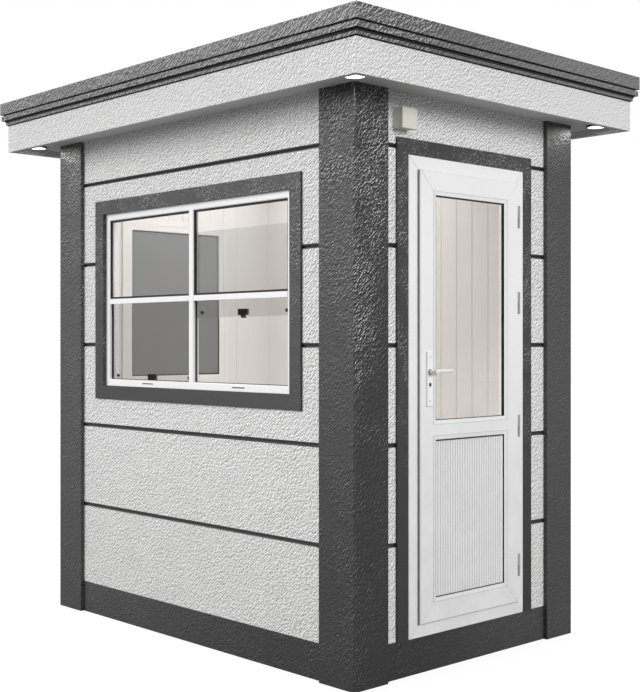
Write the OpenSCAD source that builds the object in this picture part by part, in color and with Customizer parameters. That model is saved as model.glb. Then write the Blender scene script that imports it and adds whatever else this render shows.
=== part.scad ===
// A small modular cabin: rendered wall panels between dark corner posts, a flat roof
// with a stepped cornice, a four-light window and a part-glazed door.
// The front wall, with the window, faces -Y and the door wall faces +X.
// The origin is the middle of the footprint, on the ground.

/* [Body] */
// Length between the faces of the corner posts
body_l = 2150; // [2000:10:3000]
// Depth between the faces of the corner posts
body_d = 1500; // [1400:10:2400]
// Height of the walls from the ground to the soffit
wall_h = 2426; // [2320:1:2700]
// Width of each face of a corner post
post_w = 200; // [140:5:215]
// Radius of the posts' outer corners
post_r = 8; // [2:1:20]
// How far the post faces stand out from the cladding
post_proud = 20; // [17:1:40]
// Height of the plinth boards
plinth_h = 155; // [120:1:180]
// Thickness of the floor
floor_t = 90; // [40:1:110]

/* [Walls] */
// Thickness of the cladding panels
cladding_t = 10; // [6:1:14]
// Thickness of the wall cores
core_t = 60; // [55:1:80]
// Thickness of the lining boards
lining_t = 10; // [6:1:16]
// Height of a cladding panel
panel_h = 391; // [250:1:500]
// Height of the grooves between the cladding panels
groove_h = 20; // [10:1:30]
// Width of a lining board
board_w = 100; // [60:5:150]
// Least width of the lining boards that end in the corners
corner_board = 240; // [40:5:300]
// How far the back wall's lining boards lie off the wall's middle
board_shift = 45; // [0:1:50]
// Width of the grooves between the lining boards
board_groove_w = 4; // [2:0.5:8]
// Depth of the grooves between the lining boards
board_groove_d = 2; // [1:0.5:4]
// Gap between lining boards where they meet in a corner
lining_gap = 0.3; // [0.1:0.1:0.6]

/* [Window trims and frames] */
// Height of the wall over the windows' clear openings
over_window = 390; // [200:1:600]
// Height of the windows' clear opening
window_h = 864; // [720:1:1000]
// Distance from the posts to the front window's clear opening
window_side = 187; // [100:1:300]
// Distance from the front post to the side window's clear opening
side_near = 167; // [100:1:300]
// Distance from the back post to the side window's clear opening
side_far = 251; // [100:1:300]
// Width of the dark trims round the windows and the door
trim_w = 68; // [50:1:80]
// Thickness of the dark trims, in front of the cladding
trim_t = 10; // [6:1:14]
// Thickness of the trim's return into the opening
reveal_t = 8; // [4:1:12]
// Width of the window frame bars that shows inside the trim
bar_w = 33; // [26:1:45]
// Width of the mullion
mullion_w = 36; // [28:1:50]
// Thickness of the mullion behind the sliding sashes
mullion_back = 4; // [3:0.5:8]
// Height of the transom
transom_h = 25; // [20:1:40]
// Height of the transom's lower edge above the windows' lower edge
transom_up = 411; // [340:1:480]
// Depth of the transom, from the front of the frame
transom_t = 20; // [17:1:30]
// Bevel along the edges of the white frames
bevel = 4; // [2:0.5:6]
// Width of the lap of the inner casings over the lining
casing_lap = 34; // [20:1:60]
// Thickness of the inner casings
casing_t = 8; // [4:1:12]
// Length of the drain slots in the window's bottom bar
drain_l = 87; // [40:1:120]
// Height of the drain slots
drain_h = 5; // [3:0.5:8]
// Depth of the drain slots
drain_t = 12; // [2:0.5:16]

/* [Panes and sashes] */
// Thickness of the panes
pane_t = 4; // [3:0.5:6]
// How far the fixed panes lie behind the frame's front
pane_in = 12; // [10:0.5:13]
// How far the side window's frame lies behind the face of its casing
side_step = 2; // [1:0.5:3]
// How far the side window's pane lies behind the face of its frame
side_pane_in = 8; // [6:0.5:12]
// Width of the gasket lips on the side window's pane
side_lip = 6; // [4:0.5:12]
// Thickness of the sliding sashes
sash_t = 6; // [4:0.5:8]
// Gap between the transom's back and the sliding sashes
sash_clear = 2; // [1:0.5:6]
// How far a closed sash reaches up behind the transom
sash_over = 12; // [4:1:24]
// Gap left over the right sash, which is raised
sash_left = 103; // [10:1:300]
// Depth of the sash runs in the frame
run_d = 5; // [3:0.5:8]
// Gap on each side of a sash in its run
run_gap = 0.3; // [0.1:0.1:0.6]
// Width of the gasket lip on the glass
lip_w = 10; // [6:0.5:14]
// Thickness of the gasket lip
lip_t = 1.5; // [1:0.1:2]
// Thickness of the gasket's lining on the frame
gasket_t = 2; // [1:0.5:3]
// Width of a sash latch
latch_w = 65; // [40:1:90]
// Height of a sash latch
latch_h = 28; // [18:1:40]
// Height of a latch above the sash's lower edge
latch_up = 7; // [6:0.5:20]
// Width of the bolt that hangs from an open sash's latch
bolt_w = 25; // [12:1:36]
// How far the bolt hangs below the latch
bolt_drop = 13; // [4:1:20]
// How far the latch body stands in from the sash's face
latch_t = 10; // [6:1:14]
// Diameter of the round finger pulls
pull_d = 15; // [10:1:24]
// Height of the finger pulls above the sash's lower edge
pull_up = 23; // [14:1:40]
// Distance of the finger pulls from the frame's bars
pull_in = 32; // [16:1:60]

/* [Door] */
// Width of the wall between the front post and the door frame
door_near = 134; // [110:1:200]
// Width of the wall between the door frame and the back post
door_far = 178; // [110:1:260]
// Height of the wall over the door frame
over_door = 256; // [200:1:400]
// How far the door frame stands out from the cladding
door_proud = 13; // [11:0.5:15]
// Depth of the door frame
door_frame_t = 70; // [60:1:80]
// Width of the door frame's bars
door_bar = 70; // [66:1:80]
// Width of the door frame that shows round the leaf
door_strip = 56; // [50:1:60]
// Gap between the leaf and the frame
door_gap = 8; // [7:0.5:9]
// Gap behind the leaf's lap
lap_gap = 5; // [5:0.5:8]
// Thickness of the leaf's lap over the frame
lap_t = 10; // [8:0.5:14]
// Thickness of the leaf behind its lap
leaf_t = 45; // [40:1:58]
// Width of the leaf's stiles and of its top and bottom rails
stile_w = 101; // [90:1:115]
// Height of the middle rail
mid_rail_h = 82; // [60:1:110]
// Height of the middle rail's lower edge above the leaf's lower edge
mid_rail_up = 768; // [600:1:900]
// Width of the sloping beads round the glass and the panel
bead_w = 17; // [8:0.5:24]
// Depth of the beads' slope
bead_d = 3; // [1:0.5:5]
// How far the glass and the panel lie behind the leaf's front
infill_in = 9; // [7:0.5:12]
// Thickness of the door's glass
door_pane_t = 6; // [4:0.5:10]
// Thickness of the ribbed panel
panel_t = 20; // [12:1:24]
// Width of the gasket lips on the door's glass and panel
door_lip = 3; // [2.5:0.5:8]
// Height of the gasket lips along the upper edges of the door's glass and panel
top_lip = 7; // [4:0.5:10]
// Depth of the seals behind the door's glass and panel
back_seal = 5; // [3:0.5:8]
// How far the leaf's openings widen towards the room
splay_w = 26; // [10:1:26]
// Pitch of the panel's ribs
rib_pitch = 16.5; // [10:0.5:30]
// Width of the channels between the ribs
rib_gap_w = 8; // [3:0.5:9]
// Depth of the channels between the ribs
rib_d = 5; // [1:0.5:6]

/* [Hinges and handle] */
// Distance from the leaf's lower edge to the lowest hinge
hinge_low = 117; // [50:1:200]
// Distance from the highest hinge to the leaf's upper edge
hinge_top = 104; // [50:1:200]
// Distance of the third hinge below the highest one
hinge_pair = 391; // [200:1:430]
// Height of a hinge
hinge_h = 100; // [60:1:140]
// Radius of a hinge's barrel
barrel_r = 6; // [6:0.5:9]
// Radius of the hinge pins
pin_r = 3; // [2.5:0.5:5]
// Gap round a hinge pin
pin_gap = 0.1; // [0.05:0.01:0.1]
// Gap between the two halves of a hinge
barrel_gap = 0.3; // [0.1:0.1:1]
// Distance of the hinge line from the leaf's edge
hinge_out = 11; // [10:0.5:13]
// Distance of the hinge line in front of the door frame
hinge_fwd = 10; // [9.5:0.5:13]
// Thickness of the hinge wings
wing_t = 7; // [5:0.5:9]
// Distance of the spindle from the leaf's edge
backset = 52.5; // [40:0.5:56]
// Width of a handle plate
plate_w = 36; // [28:1:44]
// Height of a handle plate
plate_h = 229; // [180:1:260]
// Thickness of a handle plate
plate_t = 8; // [4:0.5:12]
// Height of the plates' middle above the leaf's lower edge
plate_up = 1025; // [960:1:1120]
// Height of the lever above the plates' middle
lever_up = 30; // [20:1:60]
// How far a lever's grip lies above its spindle
grip_rise = 5; // [0:0.5:6]
// Length of the levers from the spindle
lever_l = 108; // [90:1:140]
// Diameter of the levers' grips
lever_d = 14; // [10:0.5:18]
// Radius of the levers' bends
bend_r = 9; // [8:0.5:10]
// Length of the levers' hubs
hub_l = 20; // [14:1:30]
// Reach of the levers from the leaf
lever_reach = 50; // [40:1:60]
// Radius of the levers' hubs
neck_r = 12; // [11:0.5:15]
// Radius of the spindle
spindle_r = 5; // [4:0.5:6]
// Gap round the hubs and the spindle
neck_gap = 0.3; // [0.2:0.1:0.6]
// Radius of the keyhole's round ends
keyhole_r = 5; // [3:0.5:6]
// Distance between the centres of the keyhole's ends
keyhole_l = 8; // [2:0.5:14]
// Distance of the keyhole below the plates' middle
keyhole_down = 23; // [10:1:50]

/* [Roof] */
// Reach of the fascia from the post faces
fascia_out = 195; // [140:1:260]
// Thickness of the fascia
fascia_t = 30; // [15:1:40]
// How far the fascia hangs below the soffit
fascia_drop = 28; // [10:1:60]
// Height of the fascia above the soffit
fascia_rise = 114; // [80:1:160]
// Step of the lowest cornice band beyond the fascia
lower_step = 9; // [4:0.5:20]
// Height of the lowest cornice band
lower_h = 23; // [12:1:40]
// Step of the middle cornice band beyond the lowest one
middle_step = 18; // [8:0.5:30]
// Height of the middle cornice band
middle_h = 23; // [12:1:40]
// Height of the groove under the top band
neck_h = 8; // [4:1:14]
// Depth of the groove under the top band
neck_in = 12; // [4:0.5:20]
// Step of the top band beyond the middle one
top_step = 4.5; // [2:0.5:15]
// Height of the top band
top_h = 60; // [40:1:90]
// Width of the rim round the roof sheet
rim_w = 70; // [40:1:120]
// Depth of the roof sheet below the rim
rim_h = 20; // [8:1:30]
// Diameter of a downlight
lamp_d = 90; // [60:1:110]
// Width of a downlight's ring
lamp_ring = 4; // [2:0.5:8]
// How far a downlight stands out below the soffit
lamp_t = 10; // [6:1:20]
// How far a downlight's lens lies inside its ring
lens_in = 2; // [1:0.5:4]
// Gap between a downlight's lens and its ring
lens_gap = 0.3; // [0.1:0.1:0.6]

/* [Wall box] */
// Width of the box
box_w = 90; // [60:1:96]
// Height of the box
box_h = 88; // [60:1:100]
// Depth of the box
box_t = 53; // [30:1:80]
// Depth of the box's lid
lid_t = 14; // [8:1:20]
// Depth of the joint round the lid
lid_joint = 2; // [0.5:0.5:3]
// Gap between the box's lower edge and the door's trim
box_up = 29; // [10:1:40]
// Gap between the box's near edge and the corner post
box_off = 50; // [20:1:80]

/* [Hidden] */
$fn = 48;
// Overshoot of a cut past the face it opens
over = 1;

white = [0.90, 0.90, 0.90];
render_white = [0.86, 0.86, 0.85];
dark = [0.29, 0.29, 0.30];
black = [0.10, 0.10, 0.10];
beige = [0.85, 0.83, 0.80];
clear = [0.80, 0.86, 0.88, 0.35];

hx = body_l / 2;
hy = body_d / 2;
// Depths into a wall from the post face: cladding, core, lining and room
clad_v = post_proud;
core_v = clad_v + cladding_t;
line_v = core_v + core_t;
room_v = line_v + lining_t;
bay_l = body_l - 2 * post_w;
bay_d = body_d - 2 * post_w;

head_z = wall_h - over_window;
sill_z = head_z - window_h;
win_u = [window_side - bay_l / 2, bay_l / 2 - window_side];
side_u = [side_far - bay_d / 2, bay_d / 2 - side_near];
win_z = [sill_z, head_z];
light_z = [sill_z + bar_w, head_z - bar_w];
transom_z = [sill_z + transom_up, sill_z + transom_up + transom_h];
lights_u = [[win_u[0] + bar_w, -mullion_w / 2], [mullion_w / 2, win_u[1] - bar_w]];
sash_in = transom_t + sash_clear;
sash_z = light_z[0] - run_d;
sash_h = transom_z[0] + sash_over - sash_z;
sash_up = light_z[1] - sash_left - sash_h - sash_z;

dframe_u = [door_near - bay_d / 2, bay_d / 2 - door_far];
dframe_z = [plinth_h, wall_h - over_door];
dframe_v = clad_v - door_proud;
leaf_u = [dframe_u[0] + door_strip, dframe_u[1] - door_strip];
leaf_z = [dframe_z[0] + door_strip, dframe_z[1] - door_strip];
leaf_v = dframe_v - lap_gap - lap_t;
leaf_back = leaf_v + lap_t + leaf_t;
body_in = door_bar + door_gap;
mid_z = [leaf_z[0] + mid_rail_up, leaf_z[0] + mid_rail_up + mid_rail_h];
infill_u = [leaf_u[0] + stile_w, leaf_u[1] - stile_w];
glass_z = [mid_z[1], leaf_z[1] - stile_w];
panel_z = [leaf_z[0] + stile_w, mid_z[0]];
infill_v = leaf_v + infill_in;

hinge_u = leaf_u[1] + hinge_out;
hinge_v = dframe_v - hinge_fwd;
hinge_head = leaf_z[1] - hinge_top - hinge_h;
// Heights of the four hinges; the second one's top is level with the middle rail's
hinge_z = [leaf_z[0] + hinge_low, mid_z[1] - hinge_h, hinge_head - hinge_pair, hinge_head];
lever_u = leaf_u[0] + backset;
plate_z = leaf_z[0] + plate_up;
lever_z = plate_z + lever_up;

soffit_out = fascia_out - fascia_t;
fascia_top = wall_h + fascia_rise;
lower_out = fascia_out + lower_step;
middle_out = lower_out + middle_step;
top_out = middle_out + top_step;
lower_top = fascia_top + lower_h;
middle_top = lower_top + middle_h;
band_z = middle_top + neck_h;
roof_z = band_z + top_h;

// A widened span, by e at both ends
function grow(s, e) = [s[0] - e, s[1] + e];

// Places children in a wall's own frame: x along the wall as seen from outside,
// y into the wall from the post face, z up
module on_wall(side) {
    turn = side == "front" ? 0 : side == "right" ? 90 : side == "back" ? 180 : 270;
    reach = side == "front" || side == "back" ? hy : hx;
    rotate([0, 0, turn]) translate([0, -reach, 0]) children();
}

// A block from its three spans
module block(u, v, z) {
    translate([u[0], v[0], z[0]]) cube([u[1] - u[0], v[1] - v[0], z[1] - z[0]]);
}

// The space that two outlines share: one in plan drawn upwards, one in section drawn along the wall
module crossed(plan, section, u, z) {
    intersection() {
        translate([0, 0, z[0]]) linear_extrude(z[1] - z[0]) polygon(plan);
        translate([u[0], 0, 0]) rotate([90, 0, 90]) linear_extrude(u[1] - u[0]) polygon(section);
    }
}

// A block whose front edges are bevelled by b
module bevel_block(u, v, z, b) {
    crossed(
        [[u[0], v[1]], [u[0], v[0] + b], [u[0] + b, v[0]],
         [u[1] - b, v[0]], [u[1], v[0] + b], [u[1], v[1]]],
        [[v[1], z[0]], [v[0] + b, z[0]], [v[0], z[0] + b],
         [v[0], z[1] - b], [v[0] + b, z[1]], [v[1], z[1]]], u, z);
}

// An opening from front v[0] to back v[1] whose front edge slopes out by w over a depth d
module flared_cut(u, v, z, w, d) {
    out = w * (1 + over / d);
    front = v[0] - over;
    block(u, grow(v, over), z);
    crossed(
        [[u[0] - out, front], [u[1] + out, front], [u[1], v[0] + d], [u[0], v[0] + d]],
        [[front, z[0] - out], [front, z[1] + out], [v[0] + d, z[1]], [v[0] + d, z[0]]],
        grow(u, out), grow(z, out));
}

// The slope of an opening towards its back face at depth v, out by w over a depth d
module back_cut(v, u, z, w, d) {
    translate([0, v, 0]) mirror([0, 1, 0]) flared_cut(u, [0, d], z, w, d);
}

// A ring of width w round an opening, over a depth span
module ring(u, v, z, w) {
    difference() {
        block(grow(u, w), v, grow(z, w));
        block(u, grow(v, over), z);
    }
}

// A trim round an opening: a band of width w over span v, and a return over span back
module lipped_ring(u, z, w, v, back) {
    ring(u, v, z, w);
    ring(u, back, z, reveal_t);
}

// A gasket in an opening: its lining over depth span v and its lip at the back of that span
module gasket(u, v, z, lip) {
    ring(grow(u, -gasket_t), v, grow(z, -gasket_t), gasket_t);
    ring(grow(u, -lip), [v[1] - lip_t, v[1]], grow(z, -lip), lip);
}

// Four copies at the corners, each turned to face outwards
module each_corner() {
    for (sx = [0, 1], sy = [0, 1])
        mirror([sx, 0, 0]) mirror([0, sy, 0]) children();
}

// A plate over the whole cabin, reaching out beyond the post faces
module roof_plate(out, z) {
    translate([-hx - out, -hy - out, z[0]])
        cube([body_l + 2 * out, body_d + 2 * out, z[1] - z[0]]);
}

module corner_posts() {
    color(dark) each_corner()
        translate([hx, hy, 0]) linear_extrude(wall_h) difference() {
            union() {
                translate([-post_w, -post_w]) square([post_w, post_w - post_r]);
                translate([-post_w, -post_w]) square([post_w - post_r, post_w]);
                translate([-post_r, -post_r]) circle(post_r);
            }
            translate([-post_w - over, -post_w - over]) square(post_w - line_v + over);
        }
}

module plinth_board(side, bay) {
    on_wall(side) block([-bay / 2, bay / 2], [clad_v, line_v], [0, plinth_h]);
}

module plinth() {
    color(dark) for (side = ["front", "back"]) plinth_board(side, bay_l);
    color(dark) for (side = ["left", "right"]) plinth_board(side, bay_d);
}

module floor_deck() {
    color(beige) translate([-hx + line_v, -hy + line_v, plinth_h - floor_t])
        cube([body_l - 2 * line_v, body_d - 2 * line_v, floor_t]);
}

// The core of a wall between two posts
module core(bay) {
    block([-bay / 2, bay / 2], [core_v, line_v], [plinth_h, wall_h]);
}

// The hole that a wall has for a window
module window_hole(u) {
    block(grow(u, reveal_t), [-over, room_v + over], grow(win_z, reveal_t));
}

module front_wall() {
    color(dark) on_wall("front") difference() { core(bay_l); window_hole(win_u); }
}

module back_wall() {
    color(dark) on_wall("back") core(bay_l);
}

module left_wall() {
    color(dark) on_wall("left") difference() { core(bay_d); window_hole(side_u); }
}

module right_wall_near() {
    color(dark) on_wall("right")
        block([-bay_d / 2, dframe_u[0]], [core_v, line_v], [plinth_h, wall_h]);
}

module right_wall_far() {
    color(dark) on_wall("right")
        block([dframe_u[1], bay_d / 2], [core_v, line_v], [plinth_h, wall_h]);
}

module right_wall_head() {
    color(dark) on_wall("right") block(dframe_u, [core_v, line_v], [dframe_z[1], wall_h]);
}

// Cladding panels up a wall, with a groove over each
module panels(bay) {
    for (z = [plinth_h : panel_h + groove_h : wall_h - over])
        block([-bay / 2, bay / 2], [clad_v, core_v], [z, min(z + panel_h, wall_h)]);
}

module front_cladding() {
    color(render_white) on_wall("front") difference() { panels(bay_l); window_hole(win_u); }
}

module back_cladding() {
    color(render_white) on_wall("back") panels(bay_l);
}

module left_cladding() {
    color(render_white) on_wall("left") difference() { panels(bay_d); window_hole(side_u); }
}

// The hole that the right wall has for the door
module door_hole() {
    block(dframe_u, [-over, room_v + over], [plinth_h - over, dframe_z[1]]);
}

module right_cladding() {
    color(render_white) on_wall("right") difference() { panels(bay_d); door_hole(); }
}

// Lining boards along a wall, moved along it by shift, with a groove at each joint
module boards(half, shift) {
    n = ceil(half / board_w);
    translate([0, 0, plinth_h]) linear_extrude(wall_h - plinth_h) difference() {
        translate([-half, line_v]) square([2 * half, lining_t]);
        for (i = [-n : n])
            if (abs(i * board_w + shift) < half - corner_board)
                translate([i * board_w + shift - board_groove_w / 2, room_v - board_groove_d])
                    square([board_groove_w, board_groove_d + over]);
    }
}

module wall_lining() {
    long = hx - line_v;
    short = hy - room_v - lining_gap;
    color(beige) {
        on_wall("front") difference() { boards(long, 0); window_hole(win_u); }
        on_wall("back") boards(long, board_shift);
        on_wall("left") difference() { boards(short, 0); window_hole(side_u); }
        on_wall("right") difference() { boards(short, 0); door_hole(); }
    }
}

module window_trim() {
    color(dark) on_wall("front")
        lipped_ring(win_u, win_z, trim_w, [clad_v - trim_t, clad_v], [clad_v - trim_t, core_v]);
}

module side_trim() {
    color(dark) on_wall("left")
        lipped_ring(side_u, win_z, trim_w, [clad_v - trim_t, clad_v], [clad_v - trim_t, core_v]);
}

// The depth spans of the fixed panes and of the sashes
pane_v = [core_v + pane_in, core_v + pane_in + pane_t];
sash_v = [core_v + sash_in, core_v + sash_in + sash_t];
run_v = grow(sash_v, run_gap);
// The inner face of the side window's frame, and its pane
side_face_v = room_v + casing_t - side_step;
side_pane_v = [side_face_v - side_pane_in - pane_t, side_face_v - side_pane_in];
side_light = grow(side_u, -bar_w);

module window_frame() {
    color(white) on_wall("front") {
        difference() {
            block(grow(win_u, reveal_t), [core_v, line_v], grow(win_z, reveal_t));
            for (u = lights_u) {
                flared_cut(u, [core_v, line_v], light_z, bevel, bevel);
                block(grow(u, run_d), run_v, [light_z[0] - run_d, light_z[1]]);
                translate([(u[0] + u[1]) / 2, core_v, (sill_z + light_z[0]) / 2])
                    cube([drain_l, 2 * drain_t, drain_h], center = true);
            }
            block([lights_u[0][0], lights_u[1][1]], [sash_v[1] + mullion_back, line_v + over], light_z);
        }
        for (u = lights_u) block(u, [core_v, core_v + transom_t], transom_z);
    }
}

module window_gasket() {
    color(black) on_wall("front") for (u = lights_u) {
        gasket(u, [core_v + bevel, pane_v[0]], [transom_z[1], light_z[1]], lip_w);
        // Seals down both sides of the open lower light, in front of the sash
        for (s = [u[0], u[1] - gasket_t])
            block([s, s + gasket_t], [core_v + pane_in, run_v[0]], [light_z[0], transom_z[0]]);
    }
}

module window_panes() {
    color(clear) on_wall("front")
        for (u = lights_u) block(u, pane_v, [transom_z[1], light_z[1]]);
}

// A sliding sash in one of the lights, raised by up
module sash(u, up) {
    z = sash_z + up;
    color(clear) on_wall("front") block(grow(u, run_d - run_gap), sash_v, [z, z + sash_h]);
}

module left_sash() { sash(lights_u[0], 0); }
module right_sash() { sash(lights_u[1], sash_up); }

// A latch and two finger pulls on the room side of a sash that is raised by up.
// Its bolt hangs down when the sash is open, and is in the frame's bar when it is closed
module sash_fittings(u, up) {
    mid = (u[0] + u[1]) / 2;
    back = [sash_v[1], sash_v[1] + latch_t];
    foot = sash_z + up + latch_up;
    block([mid - latch_w / 2, mid + latch_w / 2], back, [foot, foot + latch_h]);
    if (up > 0) block([mid - bolt_w / 2, mid + bolt_w / 2], back, [foot - bolt_drop, foot]);
    for (s = [u[0] + pull_in, u[1] - pull_in])
        translate([s, back[1], sash_z + up + pull_up]) rotate([90, 0, 0])
            cylinder(d = pull_d, h = latch_t);
}

module sash_latches() {
    color(black) on_wall("front") {
        sash_fittings(lights_u[0], 0);
        sash_fittings(lights_u[1], sash_up);
    }
}

module side_frame() {
    color(white) on_wall("left") difference() {
        union() {
            block(grow(side_u, reveal_t), [core_v, line_v], grow(win_z, reveal_t));
            block(side_u, [line_v, side_face_v], win_z);
        }
        flared_cut(side_light, [core_v, side_face_v], light_z, bevel, bevel);
        back_cut(side_face_v, side_light, light_z, bevel, bevel);
    }
}

module side_gasket() {
    color(black) on_wall("left") for (v = [side_pane_v[0] - lip_t, side_pane_v[1]])
        ring(grow(side_light, -side_lip), [v, v + lip_t], grow(light_z, -side_lip), side_lip);
}

module side_pane() {
    color([0.5, 0.5, 0.5]) on_wall("left") block(side_light, side_pane_v, light_z);
}

module casings() {
    color(white) {
        on_wall("front")
            lipped_ring(win_u, win_z, casing_lap, [room_v, room_v + casing_t], [line_v, room_v + casing_t]);
        on_wall("left")
            lipped_ring(side_u, win_z, casing_lap, [room_v, room_v + casing_t], [line_v, room_v + casing_t]);
        on_wall("right") intersection() {
            lipped_ring(grow(dframe_u, -reveal_t), [plinth_h - casing_lap, dframe_z[1] - reveal_t],
                casing_lap, [room_v, room_v + casing_t], [dframe_v + door_frame_t, room_v + casing_t]);
            block([-hy, hy], [0, hx], [plinth_h, wall_h]);
        }
    }
}

module door_trim() {
    color(dark) on_wall("right") intersection() {
        ring(dframe_u, [clad_v - trim_t, clad_v], [plinth_h - trim_w, dframe_z[1]], trim_w);
        block([-hy, hy], [-hx, hx], [plinth_h, wall_h]);
    }
}

module door_frame() {
    color(white) on_wall("right") difference() {
        bevel_block(dframe_u, [dframe_v, dframe_v + door_frame_t], dframe_z, bevel / 2);
        flared_cut(grow(dframe_u, -door_bar), [dframe_v, dframe_v + door_frame_t],
            grow(dframe_z, -door_bar), bevel / 2, bevel / 2);
    }
}

// The door's two fillings: the height span of each one and its thickness
fillings = [[glass_z, door_pane_t], [panel_z, panel_t]];

module door_leaf() {
    spindle = [lever_u, leaf_back + over, lever_z];
    color(white) on_wall("right") difference() {
        union() {
            bevel_block(leaf_u, [leaf_v, leaf_v + lap_t], leaf_z, bevel);
            block(grow(dframe_u, -body_in), [leaf_v + lap_t, leaf_back], grow(dframe_z, -body_in));
        }
        for (f = fillings) {
            flared_cut(infill_u, [leaf_v, leaf_back], f[0], bead_w, bead_d);
            back_cut(leaf_back, infill_u, f[0], splay_w, leaf_back - infill_v - f[1] - back_seal);
        }
        translate(spindle) rotate([90, 0, 0])
            cylinder(r = spindle_r + neck_gap, h = lap_t + leaf_t + 2 * over);
    }
}

module door_glass() {
    color(clear) on_wall("right") block(infill_u, [infill_v, infill_v + door_pane_t], glass_z);
}

module door_panel() {
    n = floor((infill_u[1] - infill_u[0]) / rib_pitch / 2);
    mid = (infill_u[0] + infill_u[1]) / 2;
    color(white) on_wall("right") translate([0, 0, panel_z[0]])
        linear_extrude(panel_z[1] - panel_z[0]) difference() {
            translate([infill_u[0], infill_v]) square([infill_u[1] - infill_u[0], panel_t]);
            for (i = [-n : n])
                if (abs(i * rib_pitch) < (infill_u[1] - infill_u[0]) / 2 - door_lip - rib_gap_w / 2)
                    translate([mid + i * rib_pitch, infill_v])
                        polygon([[-rib_gap_w / 2, -over], [rib_gap_w / 2, -over],
                                 [rib_gap_w / 2, 0], [0, rib_d], [-rib_gap_w / 2, 0]]);
        }
}

module door_gasket() {
    color(black) on_wall("right") for (f = fillings) {
        back = infill_v + f[1];
        gasket(infill_u, [leaf_v + bead_d, infill_v], f[0], door_lip);
        block(infill_u, [infill_v - lip_t, infill_v], [f[0][1] - top_lip, f[0][1]]);
        ring(grow(infill_u, -gasket_t), [back, back + back_seal], grow(f[0], -gasket_t), gasket_t);
    }
}

// A bevelled handle plate on a face at depth 0, facing the viewer, with its neck hole and keyhole
module handle_plate() {
    plate_v = [-plate_t, 0];
    difference() {
        bevel_block([lever_u - plate_w / 2, lever_u + plate_w / 2], plate_v,
            [plate_z - plate_h / 2, plate_z + plate_h / 2], bevel / 2);
        translate([lever_u, over, plate_z]) rotate([90, 0, 0]) linear_extrude(plate_t + 2 * over) {
            translate([0, lever_up]) circle(neck_r + neck_gap);
            translate([0, -keyhole_down]) {
                square([2 * keyhole_r, keyhole_l], center = true);
                for (s = [-1, 1]) translate([0, s * keyhole_l / 2]) circle(keyhole_r);
            }
        }
    }
}

module handle_plates() {
    color(white) on_wall("right") {
        translate([0, leaf_v, 0]) handle_plate();
        translate([0, leaf_back, 0]) mirror([0, 1, 0]) handle_plate();
    }
}

// A round bar along the depth between two depths a and b
module depth_bar(a, b, r) {
    translate([lever_u, max(a, b), lever_z]) rotate([90, 0, 0]) cylinder(r = r, h = abs(a - b));
}

// A lever with its hub, bend and grip, reaching out from v towards side (-1 outwards, 1 inwards)
module lever(v, side) {
    hub = v + side * hub_l;
    axis = v + side * (lever_reach - lever_d / 2);
    grip = lever_l - lever_d / 2;
    depth_bar(v + side * neck_gap, hub, neck_r);
    depth_bar(hub - side * over, axis, bend_r);
    translate([lever_u, axis, lever_z]) sphere(r = bend_r);
    translate([lever_u, axis, lever_z + grip_rise]) {
        rotate([0, 90, 0]) cylinder(d = lever_d, h = grip);
        for (u = [0, grip]) translate([u, 0, 0]) sphere(d = lever_d);
    }
}

module lever_handle() {
    color(white) on_wall("right") {
        lever(leaf_v, -1);
        lever(leaf_back, 1);
        depth_bar(leaf_v - over, leaf_back + over, spindle_r);
    }
}

// The lower half of each hinge, which stands on the frame and carries the pin
module frame_hinges() {
    half = hinge_h / 2;
    color(white) on_wall("right") for (z = hinge_z)
        translate([hinge_u, hinge_v, z]) {
            cylinder(r = barrel_r, h = half);
            cylinder(r = pin_r, h = hinge_h - wing_t);
            translate([barrel_r - wing_t, 0, 0]) cube([wing_t, hinge_fwd, half]);
        }
}

// The upper half of each hinge, which turns on the pin and holds the leaf's edge
module leaf_hinges() {
    half = hinge_h / 2;
    color(white) on_wall("right") for (z = hinge_z)
        translate([hinge_u, hinge_v, z + half + barrel_gap]) difference() {
            union() {
                cylinder(r = barrel_r, h = half - barrel_gap);
                translate([-hinge_out, -wing_t / 2, 0]) cube([hinge_out, wing_t, half - barrel_gap]);
            }
            translate([0, 0, -over]) cylinder(r = pin_r + pin_gap, h = half - wing_t + over);
        }
}

module roof_panel() {
    color(render_white) roof_plate(soffit_out, [wall_h, fascia_top]);
}

module fascia() {
    color(render_white) difference() {
        roof_plate(fascia_out, [wall_h - fascia_drop, fascia_top]);
        roof_plate(soffit_out, [wall_h - fascia_drop - over, fascia_top + over]);
    }
}

module lower_cornice() {
    color(dark) roof_plate(lower_out, [fascia_top, lower_top]);
}

module middle_cornice() {
    color(dark) roof_plate(middle_out, [lower_top, middle_top]);
}

// The top band: a frame round the roof sheet, with a groove under its edge
module top_cornice() {
    color(dark) difference() {
        union() {
            roof_plate(middle_out - neck_in, [middle_top, band_z]);
            roof_plate(top_out, [band_z, roof_z]);
        }
        roof_plate(top_out - rim_w, [middle_top - over, roof_z + over]);
    }
}

module roof_sheet() {
    color([0.4, 0.4, 0.42]) roof_plate(top_out - rim_w, [middle_top, roof_z - rim_h]);
}

// Places a downlight under the soffit at each corner, half way from post to fascia
module each_lamp() {
    each_corner() translate([hx + soffit_out / 2, hy + soffit_out / 2, wall_h]) children();
}

module lamp_rings() {
    color(black) each_lamp() translate([0, 0, -lamp_t]) linear_extrude(lamp_t) difference() {
        circle(d = lamp_d);
        circle(d = lamp_d - 2 * lamp_ring);
    }
}

module lamp_lenses() {
    color("white") each_lamp() translate([0, 0, lens_in - lamp_t])
        cylinder(d = lamp_d - 2 * lamp_ring - 2 * lens_gap, h = lamp_t - lens_in);
}

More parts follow.
